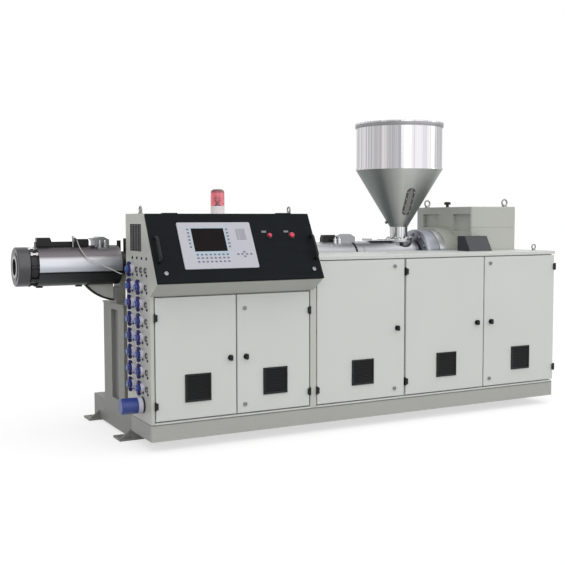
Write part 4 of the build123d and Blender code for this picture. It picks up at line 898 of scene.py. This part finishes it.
class EXTRUDER_OT_beacon(bpy.types.Operator):
    """Builds the beacon's clear ribbed dome with its lamp and reflector"""

    bl_idname = "extruder.beacon"
    bl_label = "Beacon"

    def execute(self, context):
        finish = context.scene.extruder_finish
        wall = context.scene.extruder_fittings.dome_wall
        dress(plain_plastic("beacon_white_plastic", srgb(228, 220, 224), roughness=0.35), "beacon_base")
        low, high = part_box("beacon_dome")
        foot = Vector(((low.x + high.x) / 2, (low.y + high.y) / 2, low.z))
        place = Matrix.Translation(foot)
        radius = (high.x - low.x) / 2 + 1 * MM
        tall = high.z - low.z
        dome = make_piece("beacon_lens", self.dome(place, radius, tall, wall),
                          clear_dome("beacon_lens_red", tuple(finish.beacon_red)), MACHINE)
        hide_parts("beacon_dome")
        lamp = bmesh.new()
        lathe(lamp, [(0, 0), (26 * MM, 0), (26 * MM, 5 * MM), (12 * MM, 8 * MM), (11 * MM, 24 * MM),
                     (7 * MM, 26 * MM), (0, 26 * MM)], place, steps=28)
        make_piece("beacon_socket", lamp, plain_plastic("beacon_socket_plastic", srgb(52, 44, 46)), MACHINE)
        bulb = bmesh.new()
        lathe(bulb, [(6 * MM, 25 * MM), (11 * MM, 34 * MM), (13 * MM, 44 * MM), (11 * MM, 54 * MM),
                     (6 * MM, 60 * MM), (0, 62 * MM)], place, steps=24)
        make_piece("beacon_bulb", bulb, plain_plastic("bulb_glass", srgb(236, 228, 224), roughness=0.1),
                   MACHINE)
        make_piece("beacon_reflector", self.reflector(place),
                   machined_metal("reflector_steel", srgb(228, 226, 226), roughness=0.16, along="Z"),
                   MACHINE)
        return {"FINISHED"}

    @staticmethod
    def dome(place, radius, tall, wall):
        """Clear shell with five ribs round its foot and a rounded top."""
        outside = [(radius, 0)]
        for i in range(5):
            rise = (1 + 14 * i) * MM
            outside += [(radius, rise), (radius + 0.8 * MM, rise + 0.8 * MM),
                        (radius + 0.8 * MM, rise + 2 * MM), (radius, rise + 2.8 * MM)]
        bend = 20 * MM
        arc = [math.radians(9 * i) for i in range(11)]
        outside += [(radius - bend + bend * math.cos(a), tall - bend + bend * math.sin(a)) for a in arc]
        inner_bend = bend - wall
        inside = [(radius - bend + inner_bend * math.cos(a), tall - bend + inner_bend * math.sin(a))
                  for a in reversed(arc)]
        shape = bmesh.new()
        profile = [(0, tall), *reversed(outside), (radius - wall, 0), *reversed(inside), (0, tall - wall)]
        lathe(shape, profile, place, steps=56)
        return shape

    @staticmethod
    def reflector(place, reach=25 * MM, wall=1.2 * MM):
        """Upright half cup behind the bulb."""
        shape = bmesh.new()
        angles = [math.radians(20 + 14 * i) for i in range(11)]
        columns = []
        for a in angles:
            bow = 1 - 0.18 * math.sin(a) ** 2
            corners = []
            for radius in (reach, reach - wall):
                side = Vector((radius * math.cos(a), radius * bow * math.sin(a), 0))
                corners += [shape.verts.new(place @ (side + Vector((0, 0, h * MM)))) for h in (22, 76)]
            columns.append([corners[0], corners[1], corners[3], corners[2]])
        for first, second in zip(columns, columns[1:]):
            for i in range(4):
                j = (i + 1) % 4
                shape.faces.new([first[i], first[j], second[j], second[i]])
        for end in (columns[0], columns[-1]):
            shape.faces.new(end)
        return shape


class EXTRUDER_OT_hopper_fittings(bpy.types.Operator):
    """Bolts the hopper's foot down, screws its sight window on and rolls the edge under its rim"""

    bl_idname = "extruder.hopper_fittings"
    bl_label = "Hopper fittings"

    def execute(self, context):
        fittings = context.scene.extruder_fittings
        bright = machined_metal("bolt_steel", srgb(214, 215, 218), roughness=0.22, along="Z")
        foot = bmesh.new()
        radius = fittings.bolt_radius
        for i in range(fittings.bolt_count):
            turn = math.radians(FOOT_BOLT_TURN + 360 / fittings.bolt_count * i)
            place = at(HOPPER_X + FOOT_BOLT_CIRCLE * math.sin(turn),
                       BARREL_Y - FOOT_BOLT_CIRCLE * math.cos(turn), FOOT_BOLT_Z)
            hexagon_bolt(foot, facing(place, (0, 0, 1)), radius, 0.95 * radius)
        make_piece("hopper_foot_bolts", foot, bright, MACHINE)
        make_piece("sight_window_screws", self.window_screws(), bright, MACHINE)
        rim = bmesh.new()
        low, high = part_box("hopper_cylinder")
        axis = Vector(((low.x + high.x) / 2, (low.y + high.y) / 2, high.z - 12 * MM))
        height = fittings.rim_height
        bead = 0.7 * height
        profile = [(300 * MM, 0), (308 * MM, 0), (308.6 * MM, -0.5 * bead), (307.5 * MM, -bead),
                   (303 * MM, -bead), (303 * MM, -height), (300 * MM, -height)]
        lathe(rim, profile, Matrix.Translation(axis), steps=96, closed=True)
        make_piece("hopper_rolled_edge", rim,
                   machined_metal("rim_steel", srgb(150, 149, 151), roughness=0.3, along="Z"),
                   MACHINE)
        return {"FINISHED"}

    @staticmethod
    def window_screws():
        """Small screws round the frame of the sight window, square to the cone."""
        turn = math.radians(WINDOW_TURN)
        run, rise, slant = cone_slope()
        z = CONE_FOOT[1] + WINDOW_SHARE * rise
        radius = CONE_FOOT[0] + WINDOW_SHARE * run
        side = Vector((math.cos(turn), math.sin(turn), 0))
        across = Vector((-side.y, side.x, 0))
        out = side * (rise / slant) - Vector((0, 0, run / slant))
        up = out.cross(across)
        middle = at(HOPPER_X, BARREL_Y, z) + side * radius * MM
        half_width, half_length = 24, 100
        straight = half_length - half_width
        spots = [(s * half_width, straight * t) for s in (-1, 1) for t in (-1, -0.33, 0.33, 1)]
        spots += [(0, -half_length), (0, half_length)]
        shape = bmesh.new()
        for width, length in spots:
            spot = middle + (across * width + up * length) * MM
            axis = at(HOPPER_X, BARREL_Y, 0)
            flat = Vector((spot.x - axis.x, spot.y - axis.y, 0))
            local = (CONE_FOOT[0] + run * (spot.z / MM - CONE_FOOT[1]) / rise) * MM
            lifted = spot + flat.normalized() * (local - flat.length) + out * 4.2 * MM
            socket_screw(shape, facing(lifted, out), 3.6 * MM, 2.2 * MM)
        return shape


def point_at(piece, place, target):
    piece.location = place
    piece.rotation_euler = (Vector(target) - Vector(place)).to_track_quat("-Z", "Y").to_euler()


def soft_sun(name, place, strength, spread):
    lamp = bpy.data.lights.new(name, "SUN")
    lamp.energy = strength
    lamp.angle = spread
    piece = link(bpy.data.objects.new(name, lamp))
    point_at(piece, place, (0, 0, 1))
    return piece


def white_room(strength):
    """Light from all round, and a white room to the camera, in metal and through glass."""
    world = bpy.data.worlds.new("room")
    world.use_nodes = True
    tree = world.node_tree
    path = tree.nodes.new("ShaderNodeLightPath")
    seen = path.outputs["Is Camera Ray"]
    for name in ("Is Glossy Ray", "Is Transmission Ray"):
        either = tree.nodes.new("ShaderNodeMath")
        either.operation = "MAXIMUM"
        tree.links.new(seen, either.inputs[0])
        tree.links.new(path.outputs[name], either.inputs[1])
        seen = either.outputs[0]
    level = tree.nodes.new("ShaderNodeMapRange")
    level.inputs["To Min"].default_value = strength
    tree.links.new(seen, level.inputs["Value"])
    tree.links.new(level.outputs[0], tree.nodes["Background"].inputs["Strength"])
    tree.nodes["Background"].inputs["Color"].default_value = (1, 1, 1, 1)
    bpy.context.scene.world = world


def pale_floor(reach):
    """A floor that keeps the shadow and fades into the white room."""
    mesh = bpy.data.meshes.new("floor")
    corners = [(-reach, -reach, 0), (reach, -reach, 0), (reach, reach, 0), (-reach, reach, 0)]
    mesh.from_pydata(corners, [], [(0, 1, 2, 3)])
    floor = link(bpy.data.objects.new("floor", mesh))
    coat = Coat("floor_coat", roughness=0.9)
    coat.feed("Base Color", (0.42, 0.42, 0.42))
    path = coat.node("ShaderNodeLightPath")
    seen = Value(coat, path.outputs["Is Camera Ray"]).most(Value(coat, path.outputs["Is Glossy Ray"]))
    seen = seen.most(Value(coat, path.outputs["Is Transmission Ray"]))
    coat.feed("Emission Color", (1, 1, 1))
    coat.feed("Emission Strength", seen * 0.62)
    floor.data.materials.append(coat.material)


class EXTRUDER_OT_stage(bpy.types.Operator):
    """Sets the floor, the light and the camera"""

    bl_idname = "extruder.stage"
    bl_label = "Stage, light and camera"

    def execute(self, context):
        stage = context.scene.extruder_stage
        white_room(stage.room_strength)
        pale_floor(reach=60)
        soft_sun("key_light", KEY_PLACE, stage.key_strength, KEY_SPREAD)
        fill = soft_sun("fill_light", FILL_PLACE, stage.fill_strength, FILL_SPREAD)
        fill.visible_glossy = False
        lens = bpy.data.cameras.new("camera")
        lens.sensor_width = 36
        lens.lens = stage.camera_lens
        camera = link(bpy.data.objects.new("camera", lens))
        level = Euler((math.pi / 2 - stage.camera_pitch, 0, -stage.camera_yaw)).to_matrix()
        turned = level @ Matrix.Rotation(stage.camera_roll, 3, "Z")
        camera.matrix_world = Matrix.Translation(stage.camera_place) @ turned.to_4x4()
        context.scene.camera = camera
        context.scene.view_settings.view_transform = "Standard"
        return {"FINISHED"}


PIECES = (EXTRUDER_OT_stage, EXTRUDER_OT_lead, EXTRUDER_OT_painted_sheet, EXTRUDER_OT_metalwork,
          EXTRUDER_OT_console, EXTRUDER_OT_plugs, EXTRUDER_OT_beacon, EXTRUDER_OT_hopper_fittings)


class EXTRUDER_PT_panel(bpy.types.Panel):
    """Lists the pieces of the extruder and their settings"""

    bl_idname = "EXTRUDER_PT_panel"
    bl_label = "Plastic extruder"
    bl_space_type = "VIEW_3D"
    bl_region_type = "UI"
    bl_category = "Extruder"

    def draw(self, context):
        for piece in PIECES:
            self.layout.operator(piece.bl_idname)
        scene = context.scene
        for settings in (scene.extruder_finish, scene.extruder_fittings, scene.extruder_stage):
            for name in settings.__annotations__:
                self.layout.prop(settings, name)


CLASSES = (FinishSettings, FittingSettings, StageSettings, *PIECES, EXTRUDER_PT_panel)


def register():
    for made in CLASSES:
        bpy.utils.register_class(made)
    bpy.types.Scene.extruder_finish = PointerProperty(type=FinishSettings)
    bpy.types.Scene.extruder_fittings = PointerProperty(type=FittingSettings)
    bpy.types.Scene.extruder_stage = PointerProperty(type=StageSettings)


def unregister():
    del bpy.types.Scene.extruder_stage
    del bpy.types.Scene.extruder_fittings
    del bpy.types.Scene.extruder_finish
    for made in reversed(CLASSES):
        bpy.utils.unregister_class(made)


def main():
    register()
    for piece in PIECES:
        group, name = piece.bl_idname.split(".")
        getattr(getattr(bpy.ops, group), name)()


if __name__ == "__main__":
    main()
